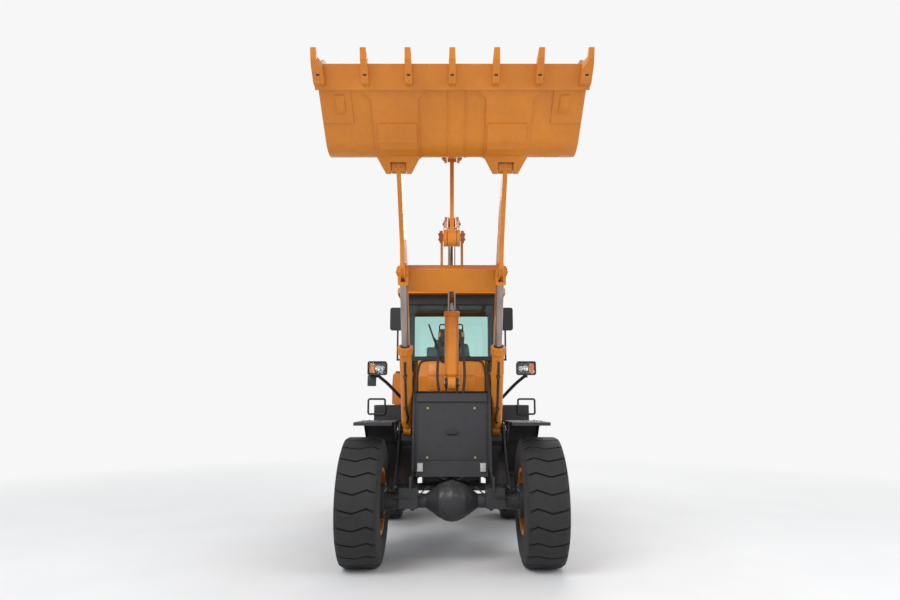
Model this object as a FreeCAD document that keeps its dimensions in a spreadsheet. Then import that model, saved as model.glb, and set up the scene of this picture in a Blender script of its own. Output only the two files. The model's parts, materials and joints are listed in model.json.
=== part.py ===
import FreeCAD, Part
import math
import os

import Sketcher

# An articulated wheel loader with its boom raised and its bucket rolled back.
# Millimetres, +Z up, the front faces -Y, and +X is the driver's left. The origin is on the ground, in the
# middle of the loader's length. The pieces are drawn in that frame, or, where they lie at an angle, in a
# frame of their own at their pin.

doc = FreeCAD.newDocument("WheelLoader")
sheet = doc.addObject("Spreadsheet::Sheet", "Sizes")

SIZES = (
    # name, value
    ("front_axle_y", -1325),
    ("wheelbase", 2790),
    ("track", 1880),
    ("tyre_radius", 660),
    ("tyre_width", 450),
    ("tyre_shoulder", 70),
    ("lug_count", 24),
    ("groove_deep", 26),
    ("rim_radius", 322),
    ("rim_wall", 14),
    ("disc_radius", 235),
    ("hub_radius", 165),
    ("running_gap", 0.05),
    ("side_gap", 6),
    # boom and its pins
    ("boom_pivot_y", -665),
    ("boom_pivot_z", 1930),
    ("bucket_pin_y", -2325),
    ("bucket_pin_z", 4010),
    ("arm_x", 525),
    ("arm_thick", 45),
    ("hub_r", 120),
    ("pivot_pin_r", 42),
    ("bucket_pin_r", 32),
    ("bucket_hub_r", 78),
    ("bucket_hub_wide", 140),
    ("lift_pin_along", 1514),
    ("lift_pin_above", -49),
    ("beam_start", 1224),
    ("beam_end", 1504),
    ("beam_low", 22),
    ("beam_deep", 140),
    ("bell_pin_along", 1718),
    ("bell_pin_above", 413),
    ("bell_pin_r", 38),
    ("bell_ear_gap", 200),
    ("bell_ear_thick", 25),
    # bellcrank and link, in the loader's frame
    ("tilt_eye_y", -960),
    ("tilt_eye_z", 3815),
    ("link_pin_y", -1905),
    ("link_pin_z", 3384),
    ("link_eye_y", -2021.5),
    ("link_eye_z", 4238.7),
    ("bell_plate_thick", 32),
    ("bell_gap", 104),
    ("bell_boss_r", 95),
    ("link_thick", 40),
    ("link_boss_wide", 92),
    ("link_boss_r", 88),
    ("link_pin_r", 32),
    # tilt cylinder
    ("tilt_base_y", -945),
    ("tilt_base_z", 1914),
    ("tilt_barrel_r", 82),
    ("tilt_barrel_long", 770),
    ("tilt_gland_r", 93),
    ("tilt_gland_long", 62),
    ("tilt_rod_r", 45),
    ("tilt_eye_r", 80),
    ("tilt_pin_r", 35),
    ("tilt_eye_wide", 88),
    # lift cylinders
    ("lift_base_y", -685),
    ("lift_base_z", 1370),
    ("lift_barrel_r", 68),
    ("lift_barrel_long", 1000),
    ("lift_gland_r", 79),
    ("lift_gland_long", 80),
    ("lift_rod_r", 40),
    ("lift_eye_r", 76),
    ("lift_pin_r", 35),
    ("lift_fork_thick", 28),
    # bucket, drawn flat on the ground from its hinge pins
    ("bucket_wide", 2375),
    ("bucket_roll", 39),
    ("bucket_reach", 1066),
    ("bucket_floor", -140),
    ("bucket_floor_long", 666),
    ("bucket_heel_r", 290),
    ("bucket_top", 905),
    ("bucket_plate", 14),
    ("bucket_cheek", 20),
    ("rib_low", 308),
    ("rib_high", 725),
    ("rib_thick", 12),
    ("edge_wide", 2422),
    ("edge_thick", 32),
    ("edge_long", 223),
    ("tooth_count", 5),
    ("tooth_pitch", 379),
    ("tooth_long", 144),
    ("tooth_wide", 60),
    ("corner_tooth_wide", 96),
    # frames and axles
    ("frame_half", 448),
    ("frame_plate", 25),
    ("frame_bottom", 775),
    ("cover_wide", 800),
    ("cover_top", 1795),
    ("hinge_upper_z", 1160),
    ("hinge_lower_z", 670),
    ("hinge_lug_thick", 60),
    ("hinge_lug_r", 110),
    ("hinge_pin_r", 40),
    ("rear_rail_half", 395),
    ("rear_frame_end", 3020),
    ("diff_r", 215),
    ("axle_r", 72),
    ("axle_pad_z", 773),
    ("shaft_r", 42),
    ("shaft_z", 900),
    # steering cylinders, from the steering axis
    ("steer_base_x", 270),
    ("steer_base_back", 700),
    ("steer_eye_x", 270),
    ("steer_eye_front", 0),
    ("steer_z", 960),
    ("steer_barrel_r", 45),
    ("steer_barrel_long", 440),
    ("steer_rod_r", 24),
    ("steer_eye_r", 42),
    ("steer_pin_r", 20),
    # fenders, steps and platforms
    ("fender_in", 612),
    ("fender_out", 1005),
    ("rear_fender_out", 1125),
    ("fender_top", 1490),
    ("fender_thick", 8),
    ("deck_z", 1655),
    ("deck_deep", 200),
    ("deck_out", 1040),
    # cab
    ("cab_front", 130),
    ("cab_back", 1450),
    ("cab_half", 655),
    ("cab_floor_z", 1500),
    ("cab_belt_z", 2250),
    ("cab_roof_z", 3140),
    ("roof_half", 730),
    ("roof_thick", 100),
    ("cab_wall", 40),
    ("pillar", 75),
    ("cowl_half", 447),
    ("glass_thick", 6),
    ("door_gap", 6),
    ("door_back", 900),
    # hood and rear
    ("hood_half", 500),
    ("hood_bottom", 1180),
    ("hood_top", 2130),
    ("hood_end", 2960),
    ("hood_wall", 30),
    ("tail_y", 3330),
    ("weight_half", 1040),
    ("weight_bottom", 760),
    ("weight_top", 1330),
    ("tow_y", 3265),
    ("tow_low", 820),
    ("tow_high", 1060),
    ("tow_r", 21),
    ("tow_half", 100),
    ("tie_back", 690),
    ("tie_z", 845),
    ("tie_r", 25),
)


class Size:
    """A number with the formula that gives it from the sheet's names."""

    def __init__(self, value, text):
        self.value = value
        self.text = text

    def __add__(self, other):
        return joined(self, "+", other)

    def __radd__(self, other):
        return joined(other, "+", self)

    def __sub__(self, other):
        return joined(self, "-", other)

    def __rsub__(self, other):
        return joined(other, "-", self)

    def __mul__(self, other):
        return joined(self, "*", other)

    def __rmul__(self, other):
        return joined(other, "*", self)

    def __truediv__(self, other):
        return joined(self, "/", other)

    def __rtruediv__(self, other):
        return joined(other, "/", self)

    def __neg__(self):
        return Size(-self.value, "-(" + self.text + ")")


def value_of(size):
    return size.value if isinstance(size, Size) else float(size)


def text_of(size):
    return size.text if isinstance(size, Size) else repr(float(size))


def joined(first, sign, second):
    a = value_of(first)
    b = value_of(second)
    results = {"+": a + b, "-": a - b, "*": a * b, "/": a / b if b else 0.0}
    return Size(results[sign], "(" + text_of(first) + " " + sign + " " + text_of(second) + ")")


def root_of(size):
    return Size(math.sqrt(value_of(size)), "sqrt(" + text_of(size) + ")")


def larger(first, second):
    bigger = max(value_of(first), value_of(second))
    return Size(bigger, "max(" + text_of(first) + "; " + text_of(second) + ")")


def turn_up(dy, dz):
    """The turn about X that carries +Z to the direction dy, dz."""
    angle = math.degrees(math.atan2(-value_of(dy), value_of(dz)))
    return Size(angle, "atan2(-(" + text_of(dy) + "); " + text_of(dz) + ")")


def turn_front(dy, dz):
    """The turn about X that carries -Y to the direction dy, dz."""
    angle = math.degrees(math.atan2(-value_of(dz), -value_of(dy)))
    return Size(angle, "atan2(-(" + text_of(dz) + "); -(" + text_of(dy) + "))")


class Table:
    """The driving dimensions, by name."""


S = Table()
for row, (name, value) in enumerate(SIZES, start=1):
    sheet.set("A" + str(row), name)
    sheet.set("B" + str(row), str(value))
    sheet.setAlias("B" + str(row), name)
    setattr(S, name, Size(float(value), "Sizes." + name))
doc.recompute()


def bind(thing, path, size):
    """Set one number of an object, by the sheet's formula where it has one."""
    if isinstance(size, Size):
        thing.setExpression(path, size.text)
    else:
        thing.setExpression(path, repr(float(size)))


def length_of(dy, dz):
    return root_of(dy * dy + dz * dz)


# Points that several pieces share, as (y, z)
class Point:
    def __init__(self, y, z):
        self.y = y
        self.z = z


BOOM_PIVOT = Point(S.boom_pivot_y, S.boom_pivot_z)
BUCKET_PIN = Point(S.bucket_pin_y, S.bucket_pin_z)
BOOM_LONG = length_of(BUCKET_PIN.y - BOOM_PIVOT.y, BUCKET_PIN.z - BOOM_PIVOT.z)
BOOM_Y = (BUCKET_PIN.y - BOOM_PIVOT.y) / BOOM_LONG
BOOM_Z = (BUCKET_PIN.z - BOOM_PIVOT.z) / BOOM_LONG


def on_boom(along, above):
    """The place of a point given along the boom, from its pivot, and above its line of pins."""
    return Point(
        BOOM_PIVOT.y + BOOM_Y * along + BOOM_Z * above,
        BOOM_PIVOT.z + BOOM_Z * along - BOOM_Y * above,
    )


LIFT_PIN = on_boom(S.lift_pin_along, S.lift_pin_above)
BELL_PIN = on_boom(S.bell_pin_along, S.bell_pin_above)
TILT_EYE = Point(S.tilt_eye_y, S.tilt_eye_z)
LINK_PIN = Point(S.link_pin_y, S.link_pin_z)
LINK_EYE = Point(S.link_eye_y, S.link_eye_z)
TILT_BASE = Point(S.tilt_base_y, S.tilt_base_z)
LIFT_BASE = Point(S.lift_base_y, S.lift_base_z)
STEER_Y = S.front_axle_y + S.wheelbase / 2
REAR_AXLE_Y = S.front_axle_y + S.wheelbase


def from_axle(back):
    """A distance behind the front axle as a Y coordinate."""
    return S.front_axle_y + back


def circle(across, up, radius):
    return ("circle", across, up, radius)


def oblong(low_a, high_a, low_b, high_b, corner=0):
    """A rectangle between two corners, with rounded corners if a radius is given."""
    return [(low_a, low_b, corner), (high_a, low_b, corner), (high_a, high_b, corner), (low_a, high_b, corner)]


def bar(first, second, first_half, second_half):
    """A tapered bar between two points given as (across, up), as four corners."""
    da = second[0] - first[0]
    db = second[1] - first[1]
    run = length_of(da, db)
    na = db / run
    nb = -(da / run)
    return [
        (first[0] + na * first_half, first[1] + nb * first_half),
        (second[0] + na * second_half, second[1] + nb * second_half),
        (second[0] - na * second_half, second[1] - nb * second_half),
        (first[0] - na * first_half, first[1] - nb * first_half),
    ]


def fix_point(sketch, geometry, spot, across, up):
    """Hold one point of a sketch at its place."""
    for kind, size in (("DistanceX", across), ("DistanceY", up)):
        index = sketch.addConstraint(
            Sketcher.Constraint(kind, -1, 1, geometry, spot, value_of(size))
        )
        if isinstance(size, Size):
            sketch.setExpression("Constraints[" + str(index) + "]", size.text)


def draw_circle(sketch, across, up, radius):
    centre = FreeCAD.Vector(value_of(across), value_of(up), 0)
    index = sketch.addGeometry(Part.Circle(centre, FreeCAD.Vector(0, 0, 1), value_of(radius)), False)
    fix_point(sketch, index, 3, across, up)
    held = sketch.addConstraint(Sketcher.Constraint("Radius", index, value_of(radius)))
    if isinstance(radius, Size):
        sketch.setExpression("Constraints[" + str(held) + "]", radius.text)


def corner_arc(before, corner, after, radius):
    """The arc that rounds a corner: its geometry, where it starts and ends, and if it turns to the left."""
    back = (before - corner).normalize()
    ahead = (after - corner).normalize()
    half = math.acos(max(-1.0, min(1.0, back.dot(ahead)))) / 2
    first = corner + back * (radius / math.tan(half))
    last = corner + ahead * (radius / math.tan(half))
    centre = corner + (back + ahead).normalize() * (radius / math.sin(half))
    left = (corner - before).cross(after - corner).z > 0
    start, end = (first, last) if left else (last, first)
    low = math.atan2(start.y - centre.y, start.x - centre.x)
    high = math.atan2(end.y - centre.y, end.x - centre.x)
    if high < low:
        high += 2 * math.pi
    arc = Part.ArcOfCircle(Part.Circle(centre, FreeCAD.Vector(0, 0, 1), radius), low, high)
    return arc, first, last, left


def draw_outline(sketch, corners):
    """A closed outline of straight sides. A corner given with a radius is rounded."""
    points = [FreeCAD.Vector(value_of(c[0]), value_of(c[1]), 0) for c in corners]
    count = len(points)
    radii = [c[2] if len(c) > 2 else 0 for c in corners]
    arcs = {}
    for i in range(count):
        if value_of(radii[i]) > 0:
            arcs[i] = corner_arc(points[i - 1], points[i], points[(i + 1) % count], value_of(radii[i]))
    lines = []
    for i in range(count):
        j = (i + 1) % count
        start = arcs[i][2] if i in arcs else points[i]
        end = arcs[j][1] if j in arcs else points[j]
        lines.append(sketch.addGeometry(Part.LineSegment(start, end), False))
    for i in range(count):
        if i not in arcs:
            sketch.addConstraint(Sketcher.Constraint("Coincident", lines[i - 1], 2, lines[i], 1))
            fix_point(sketch, lines[i], 1, corners[i][0], corners[i][1])
            continue
        arc, first, last, left = arcs[i]
        bend = sketch.addGeometry(arc, False)
        mark = sketch.addGeometry(Part.Point(points[i]), True)
        enter, leave = (1, 2) if left else (2, 1)
        sketch.addConstraint(Sketcher.Constraint("Tangent", lines[i - 1], 2, bend, enter))
        sketch.addConstraint(Sketcher.Constraint("Tangent", bend, leave, lines[i], 1))
        sketch.addConstraint(Sketcher.Constraint("PointOnObject", mark, 1, lines[i - 1]))
        sketch.addConstraint(Sketcher.Constraint("PointOnObject", mark, 1, lines[i]))
        fix_point(sketch, mark, 1, corners[i][0], corners[i][1])
        held = sketch.addConstraint(Sketcher.Constraint("Radius", bend, value_of(radii[i])))
        if isinstance(radii[i], Size):
            sketch.setExpression("Constraints[" + str(held) + "]", radii[i].text)


PIECES = []
PLANES = {"side": "YZ_Plane", "front": "XZ_Plane", "top": "XY_Plane"}


class Piece:
    """One sub-part of the loader, a body whose features take their sizes from the sheet.

    A profile on the side plane is (y, z) and runs along X, on the front plane (x, z) along Y, and on the
    top plane (x, y) along Z.
    """

    def __init__(self, name, at=(0, 0, 0), turn=None):
        self.body = doc.addObject("PartDesign::Body", name)
        self.body.Label = name
        self.roles = {f.Role: f for f in self.body.Origin.OriginFeatures}
        for letter, size in zip("xyz", at):
            bind(self.body, "Placement.Base." + letter, size)
        if turn is not None:
            self.body.Placement.Rotation = FreeCAD.Rotation(FreeCAD.Vector(1, 0, 0), turn.value)
            self.body.setExpression("Placement.Rotation.Angle", turn.text)
        PIECES.append(self)

    def sketch(self, plane, loops, height):
        sketch = self.body.newObject("Sketcher::SketchObject", self.body.Name + "_sketch")
        sketch.AttachmentSupport = (self.roles[PLANES[plane]], [""])
        sketch.MapMode = "FlatFace"
        bind(sketch, "AttachmentOffset.Base.z", height)
        for loop in loops:
            if loop[0] == "circle":
                draw_circle(sketch, *loop[1:])
            else:
                draw_outline(sketch, loop)
        return sketch

    def feature(self, kind, sketch):
        feature = self.body.newObject("PartDesign::" + kind, self.body.Name + "_" + kind.lower())
        feature.Profile = sketch
        sketch.Visibility = False
        return feature

    def pad(self, plane, loops, low, high):
        """Add a prism between two heights."""
        height = -high if plane == "front" else low
        feature = self.feature("Pad", self.sketch(plane, loops, height))
        bind(feature, "Length", high - low)
        return feature

    def cut(self, plane, loops, low, high):
        """Cut a prism between two heights."""
        height = -low if plane == "front" else high
        feature = self.feature("Pocket", self.sketch(plane, loops, height))
        bind(feature, "Length", high - low)
        return feature

    def spin(self, plane, loops, axis, kind="Revolution"):
        """Add a turned form about one of the body's axes, or cut it as a groove."""
        feature = self.feature(kind, self.sketch(plane, loops, 0))
        feature.ReferenceAxis = (self.roles[axis + "_Axis"], [""])
        feature.Angle = 360
        return feature

    def mirror(self, features, plane="side"):
        """Repeat features on the other side of a plane."""
        feature = self.body.newObject("PartDesign::Mirrored", self.body.Name + "_mirrored")
        feature.Originals = features
        feature.MirrorPlane = (self.roles[PLANES[plane]], [""])
        self.body.Tip = feature
        return feature

    def row(self, features, axis, length, count):
        """Repeat features in a row along an axis."""
        feature = self.body.newObject("PartDesign::LinearPattern", self.body.Name + "_row")
        feature.Originals = features
        feature.Direction = (self.roles[axis + "_Axis"], [""])
        bind(feature, "Length", length)
        bind(feature, "Occurrences", count)
        self.body.Tip = feature
        return feature

    def ring(self, features, axis, count):
        """Repeat features round an axis."""
        feature = self.body.newObject("PartDesign::PolarPattern", self.body.Name + "_ring")
        feature.Originals = features
        feature.Axis = (self.roles[axis + "_Axis"], [""])
        feature.Angle = 360
        bind(feature, "Occurrences", count)
        self.body.Tip = feature
        return feature


# Wheels

WHEEL_PLACES = (
    # name, side of the machine, Y of the axle
    ("front_left", 1, S.front_axle_y),
    ("front_right", -1, S.front_axle_y),
    ("rear_left", 1, REAR_AXLE_Y),
    ("rear_right", -1, REAR_AXLE_Y),
)


def tyre(name, side, axle_y):
    """A wide tyre: its casing turned about the axle, and one wavy groove repeated between its lugs."""
    piece = Piece("tyre_" + name, (S.track * 0.5 * side, axle_y, S.tyre_radius))
    half = S.tyre_width / 2
    bead = half - 40
    shoulder = half - 12
    section = [
        (-bead, S.rim_radius),
        (bead, S.rim_radius),
        (bead, S.rim_radius + 26),
        (half - 15, S.rim_radius + 66),
        (half, S.rim_radius + 125),
        (half, S.rim_radius + 185),
        (shoulder, S.tyre_radius - S.tyre_shoulder),
        (shoulder - 16, S.tyre_radius - 18),
        (shoulder - 48, S.tyre_radius),
        (-shoulder + 48, S.tyre_radius),
        (-shoulder + 16, S.tyre_radius - 18),
        (-shoulder, S.tyre_radius - S.tyre_shoulder),
        (-half, S.rim_radius + 185),
        (-half, S.rim_radius + 125),
        (-half + 15, S.rim_radius + 66),
        (-bead, S.rim_radius + 26),
    ]
    piece.spin("front", [section], "X")
    # The groove's middle line across the tread, and half its width there
    wave = (
        # across, along, half width
        (-half - 5, -30, 20),
        (-115, 20, 9),
        (25, -26, 9),
        (140, 0, 9),
        (half + 5, 34, 20),
    )
    ahead = [(across * side, along + wide) for across, along, wide in wave]
    behind = [(across * side, along - wide) for across, along, wide in reversed(wave)]
    groove = piece.cut("top", [ahead + behind], S.tyre_radius - S.groove_deep, S.tyre_radius + 10)
    piece.ring([groove], "X", S.lug_count)


def rim(name, side, axle_y):
    """A rim with its dished disc and hub. The disc is on the machine's side of the wheel's middle."""
    piece = Piece("rim_" + name, (S.track * 0.5 * side, axle_y, S.tyre_radius))
    half = S.tyre_width / 2 - 39.7
    well = S.rim_radius - S.rim_wall
    band = [
        (-half, S.rim_radius),
        (-half, S.rim_radius + 22),
        (-half - 14, S.rim_radius + 22),
        (-half - 14, well - 6),
        (half + 14, well - 6),
        (half + 14, S.rim_radius + 22),
        (half, S.rim_radius + 22),
        (half, S.rim_radius),
    ]
    piece.spin("front", [band], "X")
    out = 1.0 * side
    dish = [
        (20 * out, 0),
        (20 * out, S.disc_radius),
        (-30 * out, S.rim_radius - 20),
        (-46 * out, S.rim_radius - 20),
        (0, S.disc_radius - 10),
        (0, 0),
    ]
    piece.spin("front", [dish], "X")
    hub = [
        (20 * out, 0),
        (135 * out, 0),
        (135 * out, S.hub_radius - 50),
        (118 * out, S.hub_radius - 30),
        (60 * out, S.hub_radius - 20),
        (60 * out, S.hub_radius),
        (20 * out, S.hub_radius),
    ]
    piece.spin("front", [hub], "X")


def axle(name, axle_y, nose):
    """An axle housing: the differential's ball, its tubes, mounting pads and brake housings."""
    piece = Piece(name, (0, axle_y, S.tyre_radius))
    end = S.track / 2 - 0.3
    housing = [
        (0, 0),
        (end, 0),
        (end, S.hub_radius - 40),
        (end - 60, S.hub_radius - 40),
        (end - 60, S.hub_radius + 15),
        (end - 230, S.hub_radius + 15),
        (end - 230, S.axle_r + 20),
        (S.diff_r + 60, S.axle_r),
        (S.diff_r * 0.62, S.diff_r * 0.8, 60),
        (0, S.diff_r, 0),
    ]
    half = piece.spin("front", [housing], "X")
    piece.mirror([half])
    cover = [(0, 0), (nose * (S.diff_r - 10), 0), (nose * (S.diff_r - 40), S.diff_r * 0.55, 40),
             (nose * 60, S.diff_r * 0.95), (0, S.diff_r * 0.95)]
    piece.spin("side", [cover], "Y")
    carrier = [(0, 0), (-nose * (S.diff_r + 150), 0), (-nose * (S.diff_r + 150), 62),
               (-nose * (S.diff_r + 60), 70), (-nose * (S.diff_r - 60), 150), (0, 160)]
    piece.spin("side", [carrier], "Y")
    pad_top = S.axle_pad_z - S.tyre_radius
    pad = piece.pad("front", [oblong(360, 555, -S.axle_r + 10, pad_top)], -150, 150)
    piece.mirror([pad])


# Frames


def front_frame():
    """The front frame: two side plates, the plates across, its hinge lugs and the ears for the cylinders."""
    piece = Piece("front_frame")
    inside = S.frame_half - S.frame_plate
    outline = [
        (from_axle(-170), S.frame_bottom),
        (from_axle(-170), S.frame_bottom + 75, 40),
        (from_axle(215), S.frame_bottom + 150, 120),
        (from_axle(375), S.cover_top),
        (BOOM_PIVOT.y - 60, BOOM_PIVOT.z + S.hub_r, 60),
        (BOOM_PIVOT.y + 100, BOOM_PIVOT.z + S.hub_r, 100),
        (from_axle(1130), S.hinge_upper_z + 130, 80),
        (from_axle(1130), S.hinge_lower_z - 70, 30),
        (from_axle(880), S.hinge_lower_z - 70, 60),
        (from_axle(760), S.frame_bottom, 60),
    ]
    left = piece.pad("side", [outline], inside, S.frame_half)
    eye = piece.pad("side", [oblong(from_axle(-170), from_axle(-60), S.frame_bottom, S.frame_bottom + 145, 30)], inside,
                    S.frame_half)
    piece.mirror([left, eye])
    piece.cut("side", [circle(from_axle(S.tie_back), S.tie_z, S.tie_r)], -500, 500)
    # Plates across: nose, a box at the pivot, and a web ahead of the hinge
    nose = [
        (from_axle(250.7), S.frame_bottom + 160),
        (from_axle(383.1), S.cover_top),
        (from_axle(408.1), S.cover_top),
        (from_axle(275.7), S.frame_bottom + 155),
    ]
    piece.pad("side", [nose], -inside, inside)
    piece.pad("side", [oblong(BOOM_PIVOT.y + 20, BOOM_PIVOT.y + 45, 1250, S.cover_top + 30)], -inside, inside)
    piece.pad("side", [oblong(from_axle(420), BOOM_PIVOT.y + 30, 1250, 1275)], -inside, inside)
    # Hinge lugs
    for height in (S.hinge_upper_z, S.hinge_lower_z):
        low = height - S.hinge_lug_thick / 2
        high = height + S.hinge_lug_thick / 2
        plate = [
            (-inside, from_axle(900)),
            (inside, from_axle(900)),
            (inside, from_axle(1120)),
            (S.hinge_lug_r, STEER_Y, 1),
            (-S.hinge_lug_r, STEER_Y, 1),
            (-inside, from_axle(1120)),
        ]
        piece.pad("top", [plate], low, high)
        piece.pad("top", [circle(0, STEER_Y, S.hinge_lug_r)], low, high)
        piece.cut("top", [circle(0, STEER_Y, S.hinge_pin_r + S.running_gap)], low - 5, high + 5)
    # Saddles on the axle
    saddle = piece.pad("side", [oblong(from_axle(-150), from_axle(150), S.axle_pad_z, S.axle_pad_z + 32)],
                       360, 555)
    # Ears at the lift cylinders' base, outside the barrels
    outer = S.arm_x + S.lift_barrel_r + 8
    ear = piece.pad(
        "side",
        [[
            (from_axle(-130), S.axle_pad_z + 20),
            (from_axle(150), S.axle_pad_z + 20),
            (LIFT_BASE.y + 90, LIFT_BASE.z - 200, 100),
            (LIFT_BASE.y + 90, LIFT_BASE.z + 90, 85),
            (LIFT_BASE.y - 90, LIFT_BASE.z + 90, 85),
            (from_axle(320), LIFT_BASE.z - 260, 100),
        ]],
        outer,
        outer + 20,
    )
    floor = piece.pad(
        "side",
        [bar((from_axle(170), 800), (LIFT_BASE.y + 60, LIFT_BASE.z - 195), 12, 12)],
        inside + 10,
        outer + 10,
    )
    pivot = piece.pad("side", [circle(BOOM_PIVOT.y, BOOM_PIVOT.z, S.pivot_pin_r)], inside, S.arm_x + 60)
    collar = piece.pad("side", [circle(BOOM_PIVOT.y, BOOM_PIVOT.z, S.hub_r - 20)], inside, S.frame_half + 10)
    base_pin = piece.pad("side", [circle(LIFT_BASE.y, LIFT_BASE.z, S.lift_pin_r)], inside, outer + 32)
    piece.mirror([saddle, ear, floor, pivot, collar, base_pin])
    # Ears for the tilt cylinder's base, from the nose plate
    tilt_ear = [
        (TILT_BASE.y - 20, TILT_BASE.z - 54),
        (from_axle(390), S.cover_top - 20),
        (from_axle(390), S.cover_top - 240),
        (BOOM_PIVOT.y + 25, S.cover_top - 240),
        (BOOM_PIVOT.y + 25, TILT_BASE.z - 120, 60),
        (TILT_BASE.y + 57, TILT_BASE.z - 10),
    ]
    ear_in = S.tilt_eye_wide / 2 + S.side_gap
    tilt = piece.pad("side", [tilt_ear], ear_in, ear_in + 28)
    tilt_boss = piece.pad("side", [circle(TILT_BASE.y, TILT_BASE.z, 58)], ear_in, ear_in + 28)
    piece.mirror([tilt, tilt_boss])
    piece.cut("side", [circle(TILT_BASE.y, TILT_BASE.z, S.tilt_pin_r + S.running_gap)], -200, 200)
    # Ears for the steering rods, which reach back to the hinge from the side plates
    for height in (S.steer_z - 62, S.steer_z + 40):
        arm = [
            (inside, from_axle(960)),
            (inside, from_axle(1125)),
            (S.steer_eye_x + 54, STEER_Y - S.steer_eye_front),
            (S.steer_eye_x - 54, STEER_Y - S.steer_eye_front),
            (S.steer_eye_x - 80, from_axle(960)),
        ]
        lug = piece.pad("top", [arm], height, height + 22)
        end = piece.pad("top", [circle(S.steer_eye_x, STEER_Y - S.steer_eye_front, 54)], height, height + 22)
        piece.mirror([lug, end])


def front_cover():
    """The sheet cover on the nose, with its fold, top band and small grip."""
    piece = Piece("front_cover")
    half = S.cover_wide / 2
    face = [
        (from_axle(208), S.frame_bottom + 105),
        (from_axle(255), S.frame_bottom + 270),
        (from_axle(370), S.cover_top - 5),
        (from_axle(382), S.cover_top - 5),
        (from_axle(267), S.frame_bottom + 268),
        (from_axle(220), S.frame_bottom + 103),
    ]
    piece.pad("side", [face], -half, half)
    band = [
        (from_axle(336), S.cover_top - 95),
        (from_axle(361), S.cover_top - 2),
        (from_axle(374), S.cover_top - 2),
        (from_axle(349), S.cover_top - 95),
    ]
    piece.pad("side", [band], -half, half)
    grip = [
        (from_axle(300), 1385),
        (from_axle(268), 1385, 8),
        (from_axle(273), 1335, 8),
        (from_axle(300), 1335),
    ]
    piece.pad("side", [grip], -60, 60)


def rear_fenders():
    """Fenders over the rear tyres, folded from sheet, with a bracket each at the hood."""
    piece = Piece("rear_fenders")
    top = S.fender_top
    low = REAR_AXLE_Y - 470
    high = REAR_AXLE_Y + 640
    inner = S.cab_half + 13
    outline = [
        (low, top - 210),
        (low + 130, top, 60),
        (high - 240, top, 80),
        (high, top - 330),
        (high - 8, top - 336),
        (high - 244, top - S.fender_thick, 72),
        (low + 134, top - S.fender_thick, 52),
        (low + 8, top - 214),
    ]
    sheet_pad = piece.pad("side", [outline], inner, S.rear_fender_out)
    lip = [
        (low, top - 240),
        (low + 130, top - 35, 60),
        (high - 240, top - 35, 80),
        (high, top - 365),
        (high, top - 330),
        (high - 240, top, 80),
        (low + 130, top, 60),
        (low, top - 210),
    ]
    edge = piece.pad("side", [lip], S.rear_fender_out - 8, S.rear_fender_out)
    bracket = piece.pad("side", [oblong(REAR_AXLE_Y + 60, REAR_AXLE_Y + 300, 1190, top - 4)],
                        S.hood_half + 0.3, inner + 30)
    piece.mirror([sheet_pad, edge, bracket])


def front_fenders():
    """Fenders over the front tyres: a flat top, a fall behind the tyre, and a bracket to the frame."""
    piece = Piece("front_fenders")
    a = S.front_axle_y
    top = S.fender_top
    outline = [
        (a - 430, top - 34),
        (a - 430, top, 10),
        (a + 350, top, 60),
        (a + 650, top - 260, 90),
        (a + 700, 880),
        (a + 692, 880),
        (a + 642.5, top - 264, 82),
        (a + 347, top - S.fender_thick, 52),
        (a - 422, top - S.fender_thick, 2),
        (a - 422, top - 34),
    ]
    sheet_pad = piece.pad("side", [outline], S.fender_in, S.fender_out)
    hem = [
        (a - 430, top - 34),
        (a - 430, top, 10),
        (a + 350, top, 60),
        (a + 650, top - 260, 90),
        (a + 700, 880),
        (a + 664, 880),
        (a + 616, top - 276, 70),
        (a + 338, top - 34, 40),
    ]
    edge = piece.pad("side", [hem], S.fender_out - 8, S.fender_out)
    side_panel = [
        (a + 240, top - 4),
        (a + 330, top - 4),
        (a + 640, top - 264),
        (a + 740, top - 300),
        (a + 753, top - 250),
        (a + 753, top - 420),
        (a + 600, top - 330),
        (a + 240, top - 120),
    ]
    wall = piece.pad("side", [side_panel], S.fender_in + 28, S.fender_in + 36)
    bracket = piece.pad("front", [oblong(S.frame_half + 0.3, S.fender_in + 36, top - 330, top - 250)], a + 737,
                        a + 753)
    # The inner edge leaves room for the lift cylinder's ears
    notch = piece.cut("top", [oblong(S.fender_in - 5, S.fender_in + 28, a + 400, a + 720)], 850, top - 30)
    piece.mirror([sheet_pad, edge, wall, bracket, notch])


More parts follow.
